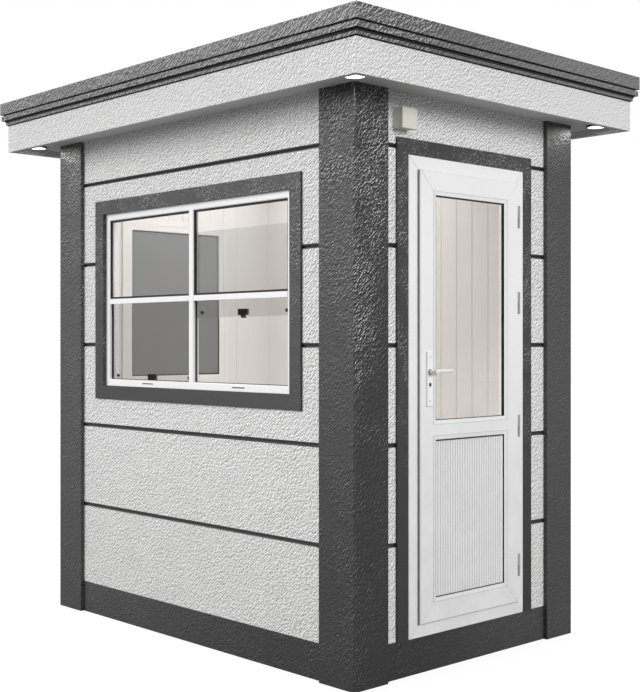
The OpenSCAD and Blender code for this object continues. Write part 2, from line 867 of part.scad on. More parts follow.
module wall_box() {
    u = [-bay_d / 2 + box_off, -bay_d / 2 + box_off + box_w];
    z = [dframe_z[1] + trim_w + box_up, dframe_z[1] + trim_w + box_up + box_h];
    front = clad_v - box_t;
    color([0.88, 0.87, 0.80]) on_wall("right") {
        bevel_block(u, [front, front + lid_t], z, bevel / 2);
        block(grow(u, -lid_joint), [front + lid_t, clad_v], grow(z, -lid_joint));
    }
}

corner_posts();
plinth();
floor_deck();  // floor
front_wall();
back_wall();
left_wall();
right_wall_near();
right_wall_far();
right_wall_head();
front_cladding();
back_cladding();
left_cladding();
right_cladding();
wall_lining();
window_trim();
window_frame();
window_gasket();
window_panes();
left_sash();
right_sash();
sash_latches();
side_trim();
side_frame();
side_gasket();
side_pane();
casings();
door_trim();
door_frame();
door_leaf();
door_glass();
door_panel();
door_gasket();
handle_plates();
lever_handle();
frame_hinges();
leaf_hinges();
roof_panel();
fascia();
lower_cornice();
middle_cornice();
top_cornice();
roof_sheet();
lamp_rings();
lamp_lenses();
wall_box();
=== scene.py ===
"""Looks of a small modular cabin: rendered panels, dark posts, stepped cornice, window and door."""
import logging
import math
from dataclasses import dataclass, field, replace
from enum import Enum

import bmesh
import bpy
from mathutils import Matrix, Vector


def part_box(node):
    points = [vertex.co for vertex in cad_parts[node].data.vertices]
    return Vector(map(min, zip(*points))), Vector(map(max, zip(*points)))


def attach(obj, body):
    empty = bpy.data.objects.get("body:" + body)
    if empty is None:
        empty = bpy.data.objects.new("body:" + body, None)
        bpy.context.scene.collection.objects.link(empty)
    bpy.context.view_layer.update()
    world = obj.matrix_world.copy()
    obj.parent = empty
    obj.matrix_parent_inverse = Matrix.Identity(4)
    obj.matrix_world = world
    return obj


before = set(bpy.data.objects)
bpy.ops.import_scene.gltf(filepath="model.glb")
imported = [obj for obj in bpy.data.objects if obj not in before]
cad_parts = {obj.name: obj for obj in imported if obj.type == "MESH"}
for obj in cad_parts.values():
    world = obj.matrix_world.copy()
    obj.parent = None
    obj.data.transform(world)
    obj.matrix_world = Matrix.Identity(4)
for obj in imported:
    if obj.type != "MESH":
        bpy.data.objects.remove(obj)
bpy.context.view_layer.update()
LOG = logging.getLogger("cabin")

Colour = tuple[float, float, float]
Point = tuple[float, float, float]
Span = tuple[float, float]
Pair = tuple[int, int]
Box = tuple[Vector, Vector]
Node = bpy.types.Node
Socket = bpy.types.NodeSocket
Sockets = bpy.types.bpy_prop_collection
Material = bpy.types.Material

WHITE_LIGHT = (1.0, 1.0, 1.0, 1.0)
# The range that most values of a noise pattern lie in
NOISE_SPAN: Span = (0.3, 0.7)
# Corners of a CAD mesh that lie closer than this are one corner, in metres
SAME_PLACE = 1e-5


class Body(str, Enum):
    """The bodies that pieces ride on."""

    CABIN = "cabin"
    DOOR = "door"
    LEVER = "lever"


class Slot(str, Enum):
    """The material slots of the record."""

    DARK_RENDER = "dark_render"
    WHITE_RENDER = "white_render"
    FLOOR_BOARD = "floor_board"
    LINING_BOARD = "lining_board"
    WHITE_PLASTIC = "white_plastic"
    WHITE_METAL = "white_metal"
    GREY_METAL = "grey_metal"
    BLACK_RUBBER = "black_rubber"
    BLACK_PLASTIC = "black_plastic"
    CLEAR_GLASS = "clear_glass"
    GREY_GLASS = "grey_glass"
    ROOF_MEMBRANE = "roof_membrane"
    LAMP_LENS = "lamp_lens"
    CREAM_PLASTIC = "cream_plastic"


class Graph:
    """A node tree that is being built, for a shader, a shader group or a geometry tree."""

    def __init__(self, tree: bpy.types.NodeTree) -> None:
        """Take a tree and empty it to build in."""
        self.tree = tree
        self.tree.nodes.clear()

    def add(self, kind: str, values: dict[str | int, object] | None = None, **settings: object) -> Node:
        """Add a node.

        Args:
            kind: The node's type name.
            values: Values, or sockets to link, for its inputs by name or number.
            settings: Attributes to set on the node before its inputs.

        Returns:
            The new node.
        """
        node = self.tree.nodes.new(kind)
        for name, value in settings.items():
            setattr(node, name, value)
        for key, value in (values or {}).items():
            self.put(node.inputs[key], value)
        return node

    def put(self, socket: Socket, value: object) -> None:
        """Link a socket to another one, or set its value.

        Args:
            socket: The input to fill.
            value: The value, or the socket that gives it.
        """
        if isinstance(value, Socket):
            self.tree.links.new(value, socket)
        else:
            socket.default_value = value

    def math(self, operation: str, *terms: object) -> Socket:
        """Return the result of a Math node on the given terms."""
        return self.add("ShaderNodeMath", dict(enumerate(terms)), operation=operation).outputs[0]

    def vector(self, operation: str, values: dict[str | int, object]) -> Socket:
        """Return the result of a Vector Math node on the given inputs."""
        return self.add("ShaderNodeVectorMath", values, operation=operation).outputs[0]

    def split(self, vector: object) -> Sockets:
        """Return the X, Y and Z of a vector."""
        return self.add("ShaderNodeSeparateXYZ", {0: vector}).outputs

    def spread(self, value: object, low: float, high: float, to_low: float = 0.0,
               to_high: float = 1.0, smooth: bool = True) -> Socket:
        """Map a value from one range to another, clamped.

        Args:
            value: The value, or its socket.
            low: Start of the range that it comes from.
            high: End of that range.
            to_low: Start of the range that it goes to.
            to_high: End of that range.
            smooth: Whether the ends are eased.

        Returns:
            The mapped value.
        """
        node = self.add("ShaderNodeMapRange", {
            "Value": value, "From Min": low, "From Max": high, "To Min": to_low, "To Max": to_high})
        node.interpolation_type = "SMOOTHSTEP" if smooth else "LINEAR"
        return node.outputs["Result"]

    def blend(self, factor: object, first: object, second: object) -> Socket:
        """Return a colour between two others."""
        return self.add("ShaderNodeMix", {0: factor, 6: first, 7: second}, data_type="RGBA").outputs[2]

    def noise(self, coordinates: object, scale: object, detail: float = 2.0,
              roughness: float = 0.5, distortion: float = 0.0) -> Socket:
        """Add a noise pattern.

        Args:
            coordinates: Where the pattern is read.
            scale: Size of the pattern, in waves a metre.
            detail: Number of finer layers.
            roughness: How strong the finer layers are.
            distortion: How far the pattern is pulled about.

        Returns:
            The value of the pattern.
        """
        return self.add("ShaderNodeTexNoise", {
            "Vector": coordinates, "Scale": scale, "Detail": detail,
            "Roughness": roughness, "Distortion": distortion}).outputs["Fac"]


def rgba(colour: Colour) -> tuple[float, float, float, float]:
    """Return a colour with full alpha."""
    return (*colour, 1.0)


def grey(tone: float) -> Colour:
    """Return a grey of the given tone."""
    return (tone, tone, tone)


def dimmed(colour: Colour, share: float) -> Colour:
    """Return a share of a colour."""
    return tuple(share * part for part in colour)


class ShaderGroup:
    """A shader effect that several finishes share, built once."""

    name = "group"
    inputs: tuple[tuple[str, str, object], ...] = ()
    outputs: tuple[tuple[str, str], ...] = ()

    def __init__(self) -> None:
        """Build the group's tree with its named sockets."""
        self.tree = bpy.data.node_groups.new(self.name, "ShaderNodeTree")
        for label, kind, value in self.inputs:
            socket = self.tree.interface.new_socket(label, in_out="INPUT", socket_type=kind)
            if value is not None:
                socket.default_value = value
        for label, kind in self.outputs:
            self.tree.interface.new_socket(label, in_out="OUTPUT", socket_type=kind)
        graph = Graph(self.tree)
        source = graph.add("NodeGroupInput").outputs
        self.wire(graph, source, graph.add("NodeGroupOutput").inputs)

    def wire(self, graph: Graph, source: Sockets, sink: Sockets) -> None:
        """Join the group's inputs to its outputs."""
        raise NotImplementedError

    def place(self, graph: Graph, **values: object) -> Sockets:
        """Place the group in a material.

        Args:
            graph: The material's graph.
            values: Values or sockets for the inputs, with underscores for spaces.

        Returns:
            The outputs of the group node.
        """
        node = graph.add("ShaderNodeGroup", node_tree=self.tree)
        for key, value in values.items():
            graph.put(node.inputs[key.replace("_", " ")], value)
        return node.outputs


class TrowelRelief(ShaderGroup):
    """Short slanting ridges, as a trowel leaves them in wet render, with painted light and shade on their
    flanks.
    """

    name = "trowel_relief"
    inputs = (("Coordinates", "NodeSocketVector", None), ("Ridges per metre", "NodeSocketFloat", 90.0),
              ("Stretch", "NodeSocketFloat", 0.3), ("Patchiness", "NodeSocketFloat", 0.5),
              ("Calm below", "NodeSocketFloat", 0.0), ("Slope step", "NodeSocketFloat", 0.0019))
    # Height is a real bump; the second output is painted shading, light on the top flank of each ridge and
    # shade on the lower flank
    outputs = (("Height", "NodeSocketFloat"), ("Painted_shading", "NodeSocketFloat"))
    # Share of the height and of the way along the wall in the ridges' direction
    slant = (0.66, 0.75)
    # How fast the pattern changes from one wall to the next, and how far the ridges wander
    aside = 0.2
    wander = 0.6
    # Scale of the patches with fewer ridges, and the range of the noise that they come from
    patches = 7.0
    patch_span = (0.35, 0.65)
    # From where to where of the calm height the ridges grow, and from how much to how much
    calm_ramp = (0.55, 1.1, 0.3, 1.0)
    least_calm = 0.001
    # How far the painted light and shade on the flanks stand out from the middle tone
    contrast = 3.2
    middle = 0.5

    def wire(self, graph: Graph, source: Sockets, sink: Sockets) -> None:
        """Stretch a noise along a slanting line up each wall, and paint light on the top flank of each
        ridge and shade on the lower flank.

        Args:
            graph: The group's graph.
            source: The group's inputs.
            sink: The group's outputs.
        """
        place = graph.split(source["Coordinates"])
        level = graph.math("ADD", place["X"], place["Y"])
        lift, lean = self.slant
        along = graph.math("MULTIPLY_ADD", place["Z"], lift, graph.math("MULTIPLY", level, lean))
        across = graph.math("MULTIPLY_ADD", place["Z"], -lean, graph.math("MULTIPLY", level, lift))
        aside = graph.math("MULTIPLY", graph.math("SUBTRACT", place["X"], place["Y"]), self.aside)
        length = graph.math("MULTIPLY", along, source["Stretch"])
        over, under = (graph.noise(graph.add("ShaderNodeCombineXYZ", {
            "X": graph.math(side, across, source["Slope step"]), "Y": length, "Z": aside}).outputs[0],
            source["Ridges per metre"], distortion=self.wander) for side in ("SUBTRACT", "ADD"))
        cloud = graph.noise(source["Coordinates"], self.patches, roughness=0.6)
        patch = graph.spread(cloud, *self.patch_span)
        amount = graph.math("MULTIPLY_ADD", graph.math("SUBTRACT", patch, 1.0), source["Patchiness"], 1.0)
        calm = graph.math("ADD", source["Calm below"], self.least_calm)
        above = graph.math("DIVIDE", place["Z"], calm)
        amount = graph.math("MULTIPLY", amount, graph.spread(above, *self.calm_ramp))
        rise = graph.math("MULTIPLY", graph.math("SUBTRACT", under, over), amount)
        half = graph.math("MULTIPLY", amount, 0.5)
        graph.put(sink["Height"], graph.math("MULTIPLY", graph.math("ADD", under, over), half))
        # Painted shading: above the middle tone on the top flank of a ridge, below it on the lower flank
        graph.put(sink["Painted_shading"], graph.math("MULTIPLY_ADD", rise, self.contrast, self.middle))


class FineGrain(ShaderGroup):
    """The faint waviness and speckle of a moulded, pressed or coated surface."""

    name = "fine_grain"
    inputs = (("Coordinates", "NodeSocketVector", None), ("Scale", "NodeSocketFloat", 300.0))
    outputs = (("Height", "NodeSocketFloat"), ("Cloud", "NodeSocketFloat"))
    clouds = 3.1

    def wire(self, graph: Graph, source: Sockets, sink: Sockets) -> None:
        """Give a fine height and a broad soft cloud."""
        graph.put(sink["Height"], graph.noise(source["Coordinates"], source["Scale"]))
        graph.put(sink["Cloud"], graph.noise(source["Coordinates"], self.clouds, detail=3.0, roughness=0.6))


class GroundShade(ShaderGroup):
    """Painted shade near the ground, darker towards the bottom, with soft uneven edges."""

    name = "painted_ground_shade"
    inputs = (("Coordinates", "NodeSocketVector", None), ("Top", "NodeSocketFloat", 0.5),
              ("Amount", "NodeSocketFloat", 0.2))
    outputs = (("Mask", "NodeSocketFloat"),)
    clouds = 9.0
    least = 0.7

    def wire(self, graph: Graph, source: Sockets, sink: Sockets) -> None:
        """Fade a cloudy mask out with the height above the ground.

        Args:
            graph: The group's graph.
            source: The group's inputs.
            sink: The group's outputs.
        """
        height = graph.split(source["Coordinates"])["Z"]
        fade = graph.spread(graph.math("DIVIDE", height, source["Top"]), 0.0, 1.0, 1.0, 0.0)
        cloud = graph.noise(source["Coordinates"], self.clouds, detail=4.0, roughness=0.6)
        mask = graph.math("MULTIPLY", fade, graph.spread(cloud, *NOISE_SPAN, self.least))
        graph.put(sink["Mask"], graph.math("MULTIPLY", mask, source["Amount"]))


@dataclass
class Effects:
    """The shared shader groups."""

    relief: TrowelRelief = field(default_factory=TrowelRelief)
    grain: FineGrain = field(default_factory=FineGrain)
    ground_shade: GroundShade = field(default_factory=GroundShade)


@dataclass(frozen=True)
class Bench:
    """What a finish works on: its graph and shader, the object coordinates and the shared groups."""

    graph: Graph
    shader: Node
    coordinates: Socket
    effects: Effects

    def put(self, name: str, value: object) -> None:
        """Link or set an input of the shader."""
        self.graph.put(self.shader.inputs[name], value)

    def place(self, group: ShaderGroup, **values: object) -> Sockets:
        """Place a shared group on the object coordinates and return its outputs."""
        return group.place(self.graph, Coordinates=self.coordinates, **values)

    def bump(self, height: Socket, distance: float, strength: float) -> None:
        """Raise a height pattern on the surface.

        Args:
            height: The pattern.
            distance: Height of the relief, in metres.
            strength: Share of the relief that shows.
        """
        node = self.graph.add("ShaderNodeBump", {
            "Height": height, "Distance": distance, "Strength": strength})
        self.put("Normal", node.outputs[0])


@dataclass(frozen=True)
class Finish:
    """A finish with one Principled BSDF; kinds of finish add their own nodes."""

    name: str
    colour: Colour
    roughness: float = 0.5

    def material(self, effects: Effects) -> Material:
        """Build the material.

        Args:
            effects: The shared shader groups.

        Returns:
            The finished material.
        """
        made = bpy.data.materials.new(self.name)
        made.use_nodes = True
        graph = Graph(made.node_tree)
        shader = graph.add("ShaderNodeBsdfPrincipled", {
            "Base Color": rgba(self.colour), "Roughness": self.roughness})
        bench = Bench(graph, shader, graph.add("ShaderNodeTexCoord").outputs["Object"], effects)
        self.wire(bench)
        graph.add("ShaderNodeOutputMaterial", {"Surface": self.surface(bench)})
        made.diffuse_color = rgba(self.colour)
        return made

    def wire(self, bench: Bench) -> None:
        """Add the finish's own nodes."""

    def surface(self, bench: Bench) -> Socket:
        """Return the socket that the material puts out."""
        return bench.shader.outputs[0]


# Where render on the left and at the back goes over to its smooth, paler tone, a painted light, in metres
LEFT_RUN: Span = (0.8, -0.8)
BACK_RUN: Span = (-0.5, 0.5)
# Range of the normal's Z over which a face that looks down takes the plain under tone, painted shade on the
# dark renders
UNDERSIDE_SHADE_RUN: Span = (-0.5, -0.9)
# Ranges of the relief's painted shading over which the plain tone is painted lighter and darker, and over
# which the gloss changes
RIPPLE_SPAN: Span = (0.42, 0.58)
POLISH_SPAN: Span = (0.3, 0.9)


@dataclass(frozen=True)
class RenderFinish(Finish):
    """Rough trowelled render on panels, posts and bands.

    The ridges fade out below the height calm_below, so their painted light and shade gather high up. The
    other calm fields shift that height on end faces, to the left and along calm_run towards the back. On
    the left and at the back the tone goes over to the paler smooth tone, a painted light, and follow says
    how far the plain tone is painted lighter and darker with the ridges.
    """

    # Painted highlight that the top flanks of the ridges go over to across span, painted glints on the dark
    # renders; on the white render the plain tone is the painted shade of the lower flanks
    painted_highlight: Colour = grey(0.8)
    span: Span = (0.0, 1.0)
    ridges: float = 90.0
    stretch: float = 0.5
    patchiness: float = 0.5
    calm_below: float = 0.0
    calm_ends: float = 0.35
    calm_left: float = 0.0
    calm_behind: float = 0.0
    calm_run: Span = (-0.72, -0.40)
    # Paler tone on the left and at the back, a painted light
    smooth: Colour | None = None
    follow: float = 0.0
    # Plain tone of faces that look down: painted shade on the dark renders, an even tone on the white ones
    under: Colour = grey(0.6)
    depth: float = 0.003
    bump: float = 1.0
    gloss: float = 0.3
    polish: Span = (0.10, -0.05)
    # Tone, top and amount of the painted shade that darkens towards the ground
    ground_shade: Colour = (0.4, 0.38, 0.35)
    ground_shade_top: float = 1.4
    ground_shade_amount: float = 0.1

    def wire(self, bench: Bench) -> None:
        """Raise the relief, paint light and shade on the flanks of its ridges, paint the left and back
        paler and the foot darker, and give faces that look down a plain tone, painted shade on the dark
        renders.

        Args:
            bench: What to work on.
        """
        graph = bench.graph
        facing = graph.split(graph.add("ShaderNodeNewGeometry").outputs["Normal"])
        place = graph.split(bench.coordinates)
        left, behind = graph.spread(place["X"], *LEFT_RUN), graph.spread(place["Y"], *BACK_RUN)
        calm = graph.math("MULTIPLY_ADD", graph.math("ABSOLUTE", facing["X"]),
                          -self.calm_ends * self.calm_below, self.calm_below)
        calm = graph.math("MULTIPLY_ADD", left, self.calm_left, calm)
        calm = graph.math("MULTIPLY_ADD", graph.spread(place["Y"], *self.calm_run), self.calm_behind, calm)
        relief = bench.place(bench.effects.relief, Ridges_per_metre=self.ridges, Stretch=self.stretch,
                             Patchiness=self.patchiness, Calm_below=calm)
        # Painted shade, darker towards the ground
        ground_shade = bench.place(bench.effects.ground_shade, Top=self.ground_shade_top, Amount=self.ground_shade_amount)["Mask"]
        # Painted light: the left and the back go over to the paler smooth tone
        painted_light_share = graph.math("MAXIMUM", graph.math("MULTIPLY", left, float(self.calm_left > 0)), behind)
        plain = graph.blend(painted_light_share, rgba(self.colour), rgba(self.smooth or self.colour))
        # Painted light and shade: the plain tone goes lighter and darker with the flanks of the ridges, and
        # the top flanks go over to the painted highlight
        ripple = graph.spread(relief["Painted_shading"], *RIPPLE_SPAN, 1 - self.follow, 1 + self.follow, False)
        plain = graph.vector("SCALE", {0: plain, "Scale": ripple})
        lit = graph.spread(relief["Painted_shading"], *self.span, smooth=False)
        tone = graph.blend(ground_shade, graph.blend(lit, plain, rgba(self.painted_highlight)), rgba(self.ground_shade))
        # Faces that look down take the plain under tone, painted shade on the dark renders
        shaded_underside = graph.spread(facing["Z"], *UNDERSIDE_SHADE_RUN)
        bench.put("Base Color", graph.blend(shaded_underside, tone, rgba(self.under)))
        dull, bright = (self.roughness + change for change in self.polish)
        bench.put("Roughness", graph.spread(relief["Painted_shading"], *POLISH_SPAN, dull, bright, False))
        bench.put("Specular IOR Level", self.gloss)
        bench.bump(relief["Height"], self.depth, self.bump)


@dataclass(frozen=True)
class MouldedFinish(Finish):
    """Smooth plastic, rubber or powder coat, with a faint waviness and cloud."""

    shade: Colour = grey(0.7)
    scale: float = 300.0
    depth: float = 0.0001
    bump: float = 0.4
    sheen: float = 0.04
    # Amount, top and share of the painted shade that darkens towards the ground
    ground_shade: float = 0.0
    ground_shade_top: float = 2.1
    ground_shade_share: float = 0.6

    def wire(self, bench: Bench) -> None:
        """Vary the tone and gloss a little, add a fine waviness, and where asked paint shade darker towards
        the ground.

        Args:
            bench: What to work on.
        """
        graph = bench.graph
        grain = bench.place(bench.effects.grain, Scale=self.scale)
        cloud = graph.spread(grain["Cloud"], *NOISE_SPAN)
        tone = graph.blend(cloud, rgba(self.shade), rgba(self.colour))
        # Painted shade, darker towards the ground
        if self.ground_shade:
            mask = bench.place(bench.effects.ground_shade, Top=self.ground_shade_top, Amount=self.ground_shade)["Mask"]
            tone = graph.blend(mask, tone, rgba(dimmed(self.shade, self.ground_shade_share)))
        bench.put("Base Color", tone)
        bench.put("Roughness", graph.spread(grain["Height"], *NOISE_SPAN, self.roughness - self.sheen,
                                            self.roughness + self.sheen, False))
        bench.bump(grain["Height"], self.depth, self.bump)


@dataclass(frozen=True)
class RibbedFinish(MouldedFinish):
    """Ribbed plastic whose channels get painted shade, darker towards their floors."""

    # Painted shade on the channel floors
    channel_shade: Colour = grey(0.5)
    face: float = 1.0
    floor: float = 0.99
    back: float = 0.98

    def wire(self, bench: Bench) -> None:
        """Paint shade into the smooth finish by the depth behind the face.

        Args:
            bench: What to work on.
        """
        super().wire(bench)
        graph = bench.graph
        smooth = bench.shader.inputs["Base Color"].links[0].from_socket
        depth = graph.split(bench.coordinates)["X"]
        share = graph.math("MAXIMUM", graph.spread(depth, self.floor, self.face),
                           graph.spread(depth, self.back, self.floor, 1.0, 0.0))
        bench.put("Base Color", graph.blend(share, rgba(self.channel_shade), smooth))


@dataclass(frozen=True)
class BoardFinish(Finish):
    """Lining or floor boards, each a slightly different tone, with a fine grain along them."""

    shade: Colour = (0.6, 0.55, 0.5)
    pitch: float = 0.1
    upright: bool = True
    fibres: float = 120.0
    squash: float = 0.06
    tint_share: float = 0.45
    depth: float = 0.0002
    bump: float = 0.3

    def wire(self, bench: Bench) -> None:
        """Number the boards, tint each one and draw the grain along it.

        Args:
            bench: What to work on.
        """
        graph = bench.graph
        place = graph.split(bench.coordinates)
        across = graph.math("ADD", place["X"], place["Y"]) if self.upright else place["Y"]
        number = graph.math("FLOOR", graph.math("DIVIDE", across, self.pitch))
        tint = graph.add("ShaderNodeTexWhiteNoise", {"W": number}, noise_dimensions="1D").outputs["Value"]
        stretch = (1.0, 1.0, self.squash) if self.upright else (self.squash, 1.0, 1.0)
        fibre = graph.noise(graph.vector("MULTIPLY", {0: bench.coordinates, 1: stretch}),
                            self.fibres, detail=3.0, roughness=0.6)
        grain = graph.math("MULTIPLY", graph.spread(fibre, *NOISE_SPAN), 1 - self.tint_share)
        mixed = graph.math("MULTIPLY_ADD", tint, self.tint_share, grain)
        bench.put("Base Color", graph.blend(mixed, rgba(self.shade), rgba(self.colour)))
        bench.bump(fibre, self.depth, self.bump)


@dataclass(frozen=True)
class GlassFinish(Finish):
    """Flat clear glass that lets lamp light through to the room."""

    lamp_share: float = 0.25
    ior: float = 1.45
    smear: float = 0.015
    smear_span: Span = (0.45, 0.75)

    def wire(self, bench: Bench) -> None:
        """Make the shader see-through, with faint smears in its gloss.

        Args:
            bench: What to work on.
        """
        bench.put("Transmission Weight", 1.0)
        bench.put("IOR", self.ior)
        cloud = bench.place(bench.effects.grain)["Cloud"]
        bench.put("Roughness", bench.graph.spread(cloud, *self.smear_span, self.roughness,
                                                  self.roughness + self.smear, False))

    def surface(self, bench: Bench) -> Socket:
        """Let a share of the lamp light through.

        Args:
            bench: What to work on.

        Returns:
            The socket that the material puts out.
        """
        graph = bench.graph
        tint = rgba(dimmed(self.colour, self.lamp_share))
        clear = graph.add("ShaderNodeBsdfTransparent", {"Color": tint})
        shadow = graph.add("ShaderNodeLightPath").outputs["Is Shadow Ray"]
        return graph.add("ShaderNodeMixShader", {
            0: shadow, 1: bench.shader.outputs[0], 2: clear.outputs[0]}).outputs[0]


@dataclass(frozen=True)
class LampFinish(Finish):
    """A lit, diffusing lamp lens with a faint prism pattern."""

    strength: float = 3.0
    prisms: float = 240.0
    # From where to where in a prism the light fades, and from how much to how much
    prism_ramp: tuple[float, float, float, float] = (0.0, 0.7, 1.0, 0.85)
    dim: float = 0.8

    def wire(self, bench: Bench) -> None:
        """Light the lens, a little less between the prisms.

        Args:
            bench: What to work on.
        """
        graph = bench.graph
        cells = graph.add("ShaderNodeTexVoronoi", {"Vector": bench.coordinates, "Scale": self.prisms})
        tone = graph.spread(cells.outputs["Distance"], *self.prism_ramp)
        lit = graph.blend(tone, rgba(dimmed(self.colour, self.dim)), rgba(self.colour))
        bench.put("Emission Color", lit)
        bench.put("Emission Strength", self.strength)


@dataclass(frozen=True)
class MembraneFinish(Finish):
    """Roofing membrane with granules and faint water marks."""

    shade: Colour = (0.08, 0.08, 0.085)
    granules: float = 420.0
    speck_span: Span = (0.42, 0.6)
    speck_share: float = 0.5
    depth: float = 0.0006
    bump: float = 0.8

    def wire(self, bench: Bench) -> None:
        """Speckle the sheet and cloud it.

        Args:
            bench: What to work on.
        """
        graph = bench.graph
        grain = bench.place(bench.effects.grain, Scale=self.granules)
        speck = graph.spread(grain["Height"], *self.speck_span)
        mixed = graph.math("MULTIPLY_ADD", grain["Cloud"], 1 - self.speck_share,
                           graph.math("MULTIPLY", speck, self.speck_share))
        bench.put("Base Color", graph.blend(mixed, rgba(self.shade), rgba(self.colour)))
        bench.bump(grain["Height"], self.depth, self.bump)


FINISHES: dict[Slot, Finish] = {
    Slot.DARK_RENDER: RenderFinish(
        "dark render", (0.039, 0.039, 0.040), 0.36, painted_highlight=grey(0.60), span=(0.62, 1.1), ridges=128.0,
        calm_below=2.25, calm_ends=0.36, calm_left=0.3, calm_behind=1.8, smooth=(0.072, 0.072, 0.073),
        follow=0.45, under=grey(0.03), depth=0.008, gloss=0.38, ground_shade=grey(0.022), ground_shade_amount=0.35),
    Slot.WHITE_RENDER: RenderFinish(
        "white render", grey(0.37), 0.6, painted_highlight=grey(0.96), span=(0.20, 0.74), ridges=140.0,
        patchiness=0.3, depth=0.007, under=grey(0.66), ground_shade=(0.42, 0.41, 0.40), ground_shade_amount=0.35),
    Slot.FLOOR_BOARD: BoardFinish("floor boards", (0.36, 0.33, 0.30), 0.5, shade=(0.27, 0.24, 0.21),
                                  pitch=0.19, upright=False),
    Slot.LINING_BOARD: BoardFinish("lining boards", (0.71, 0.685, 0.665), 0.45, shade=(0.67, 0.64, 0.615)),
    Slot.WHITE_PLASTIC: MouldedFinish("white window plastic", grey(0.90), 0.3, shade=grey(0.87), ground_shade=0.55),
    Slot.WHITE_METAL: MouldedFinish("white powder coat", grey(0.88), 0.35, shade=grey(0.84), scale=700.0),
    Slot.GREY_METAL: MouldedFinish("grey powder coat", grey(0.35), 0.4, shade=grey(0.32), scale=700.0),
    Slot.BLACK_RUBBER: MouldedFinish("black rubber", grey(0.022), 0.7, shade=grey(0.03), scale=900.0),
    Slot.BLACK_PLASTIC: MouldedFinish("black plastic", grey(0.018), 0.38, shade=grey(0.026), scale=800.0),
    Slot.CLEAR_GLASS: GlassFinish("clear glass", (0.98, 0.985, 0.982), 0.0),
    Slot.GREY_GLASS: MouldedFinish("grey frosted glass", (0.186, 0.188, 0.191), 0.3,
                                   shade=(0.183, 0.185, 0.188), scale=900.0, depth=0.00002),
    Slot.ROOF_MEMBRANE: MembraneFinish("roof membrane", (0.17, 0.17, 0.175), 0.8),
    Slot.LAMP_LENS: LampFinish("lit lamp lens", (1.0, 0.97, 0.92), 0.3),
    Slot.CREAM_PLASTIC: MouldedFinish("cream plastic", (0.74, 0.735, 0.65), 0.4,
                                      shade=(0.70, 0.695, 0.61), scale=500.0),
}
TRIM_RENDER = RenderFinish(
    "smooth dark render", (0.045, 0.045, 0.046), 0.38, painted_highlight=grey(0.36), span=(0.66, 1.1), ridges=128.0,
    patchiness=0.7, calm_below=1.9, under=grey(0.03), depth=0.005, gloss=0.4, ground_shade=grey(0.025),
    ground_shade_amount=0.5)
BAND_RENDER = RenderFinish(
    "cornice render", (0.055, 0.055, 0.056), 0.34, painted_highlight=grey(0.58), span=(0.40, 1.05), ridges=112.0,
    stretch=0.42, patchiness=0.4, calm_below=1.0, calm_ends=0.0, calm_behind=3.4,
    smooth=(0.10, 0.10, 0.101), under=grey(0.008), depth=0.009, gloss=0.5, ground_shade_amount=0.0)
FASCIA_RENDER = replace(FINISHES[Slot.WHITE_RENDER], name="fascia render", colour=grey(0.44),
                        painted_highlight=grey(0.94), span=(0.10, 0.90), calm_below=1.0, calm_ends=0.0,
                        calm_behind=2.4, calm_run=(-0.5, 0.6))
BAR_PLASTIC = replace(FINISHES[Slot.WHITE_PLASTIC], name="window bar plastic", colour=grey(0.95),
                      shade=grey(0.93), ground_shade=0.0)
DOOR_GLASS = GlassFinish("door glass", (0.955, 0.95, 0.938), 0.0)
SASH_GLASS = GlassFinish("sash glass", grey(0.75), 0.0)
CASING = MouldedFinish("casing plastic", (0.72, 0.70, 0.68), 0.4, shade=(0.69, 0.67, 0.65))
GROOVE = MouldedFinish("groove coat", grey(0.05), 0.6, shade=grey(0.035), scale=200.0)
# Dark strip at the door leaf's lap that paints the shade in the gap
LAP_SHADE = MouldedFinish("painted lap shade", grey(0.11), 0.5, shade=grey(0.09), scale=700.0)
JOINT = MouldedFinish("bead joint", grey(0.33), 0.5, shade=grey(0.28), scale=600.0)
HUB = MouldedFinish("grey hub", grey(0.36), 0.3, shade=grey(0.32), scale=600.0)
SEAM = MouldedFinish("welded seam", grey(0.55), 0.45, shade=grey(0.5), scale=600.0)


class Palette:
    """Materials, made once each when first asked for."""

    def __init__(self, effects: Effects) -> None:
        """Keep the shared groups and start with no materials."""
        self.effects = effects
        self.made: dict[str, Material] = {}

    def get(self, finish: Finish | Slot) -> Material:
        """Return the material of a finish or of a slot's finish.

        Args:
            finish: The finish, or the slot that has one.

        Returns:
            The material, which is made at the first call.
        """
        wanted = FINISHES[finish] if isinstance(finish, Slot) else finish
        if wanted.name not in self.made:
            self.made[wanted.name] = wanted.material(self.effects)
        return self.made[wanted.name]


def stand(name: str, data: bpy.types.ID) -> bpy.types.Object:
    """Put new data into the scene as an object at the origin.

    Args:
        name: Name of the object.
        data: Its mesh, light or camera.

    Returns:
        The object.
    """
    made = bpy.data.objects.new(name, data)
    bpy.context.scene.collection.objects.link(made)
    return made


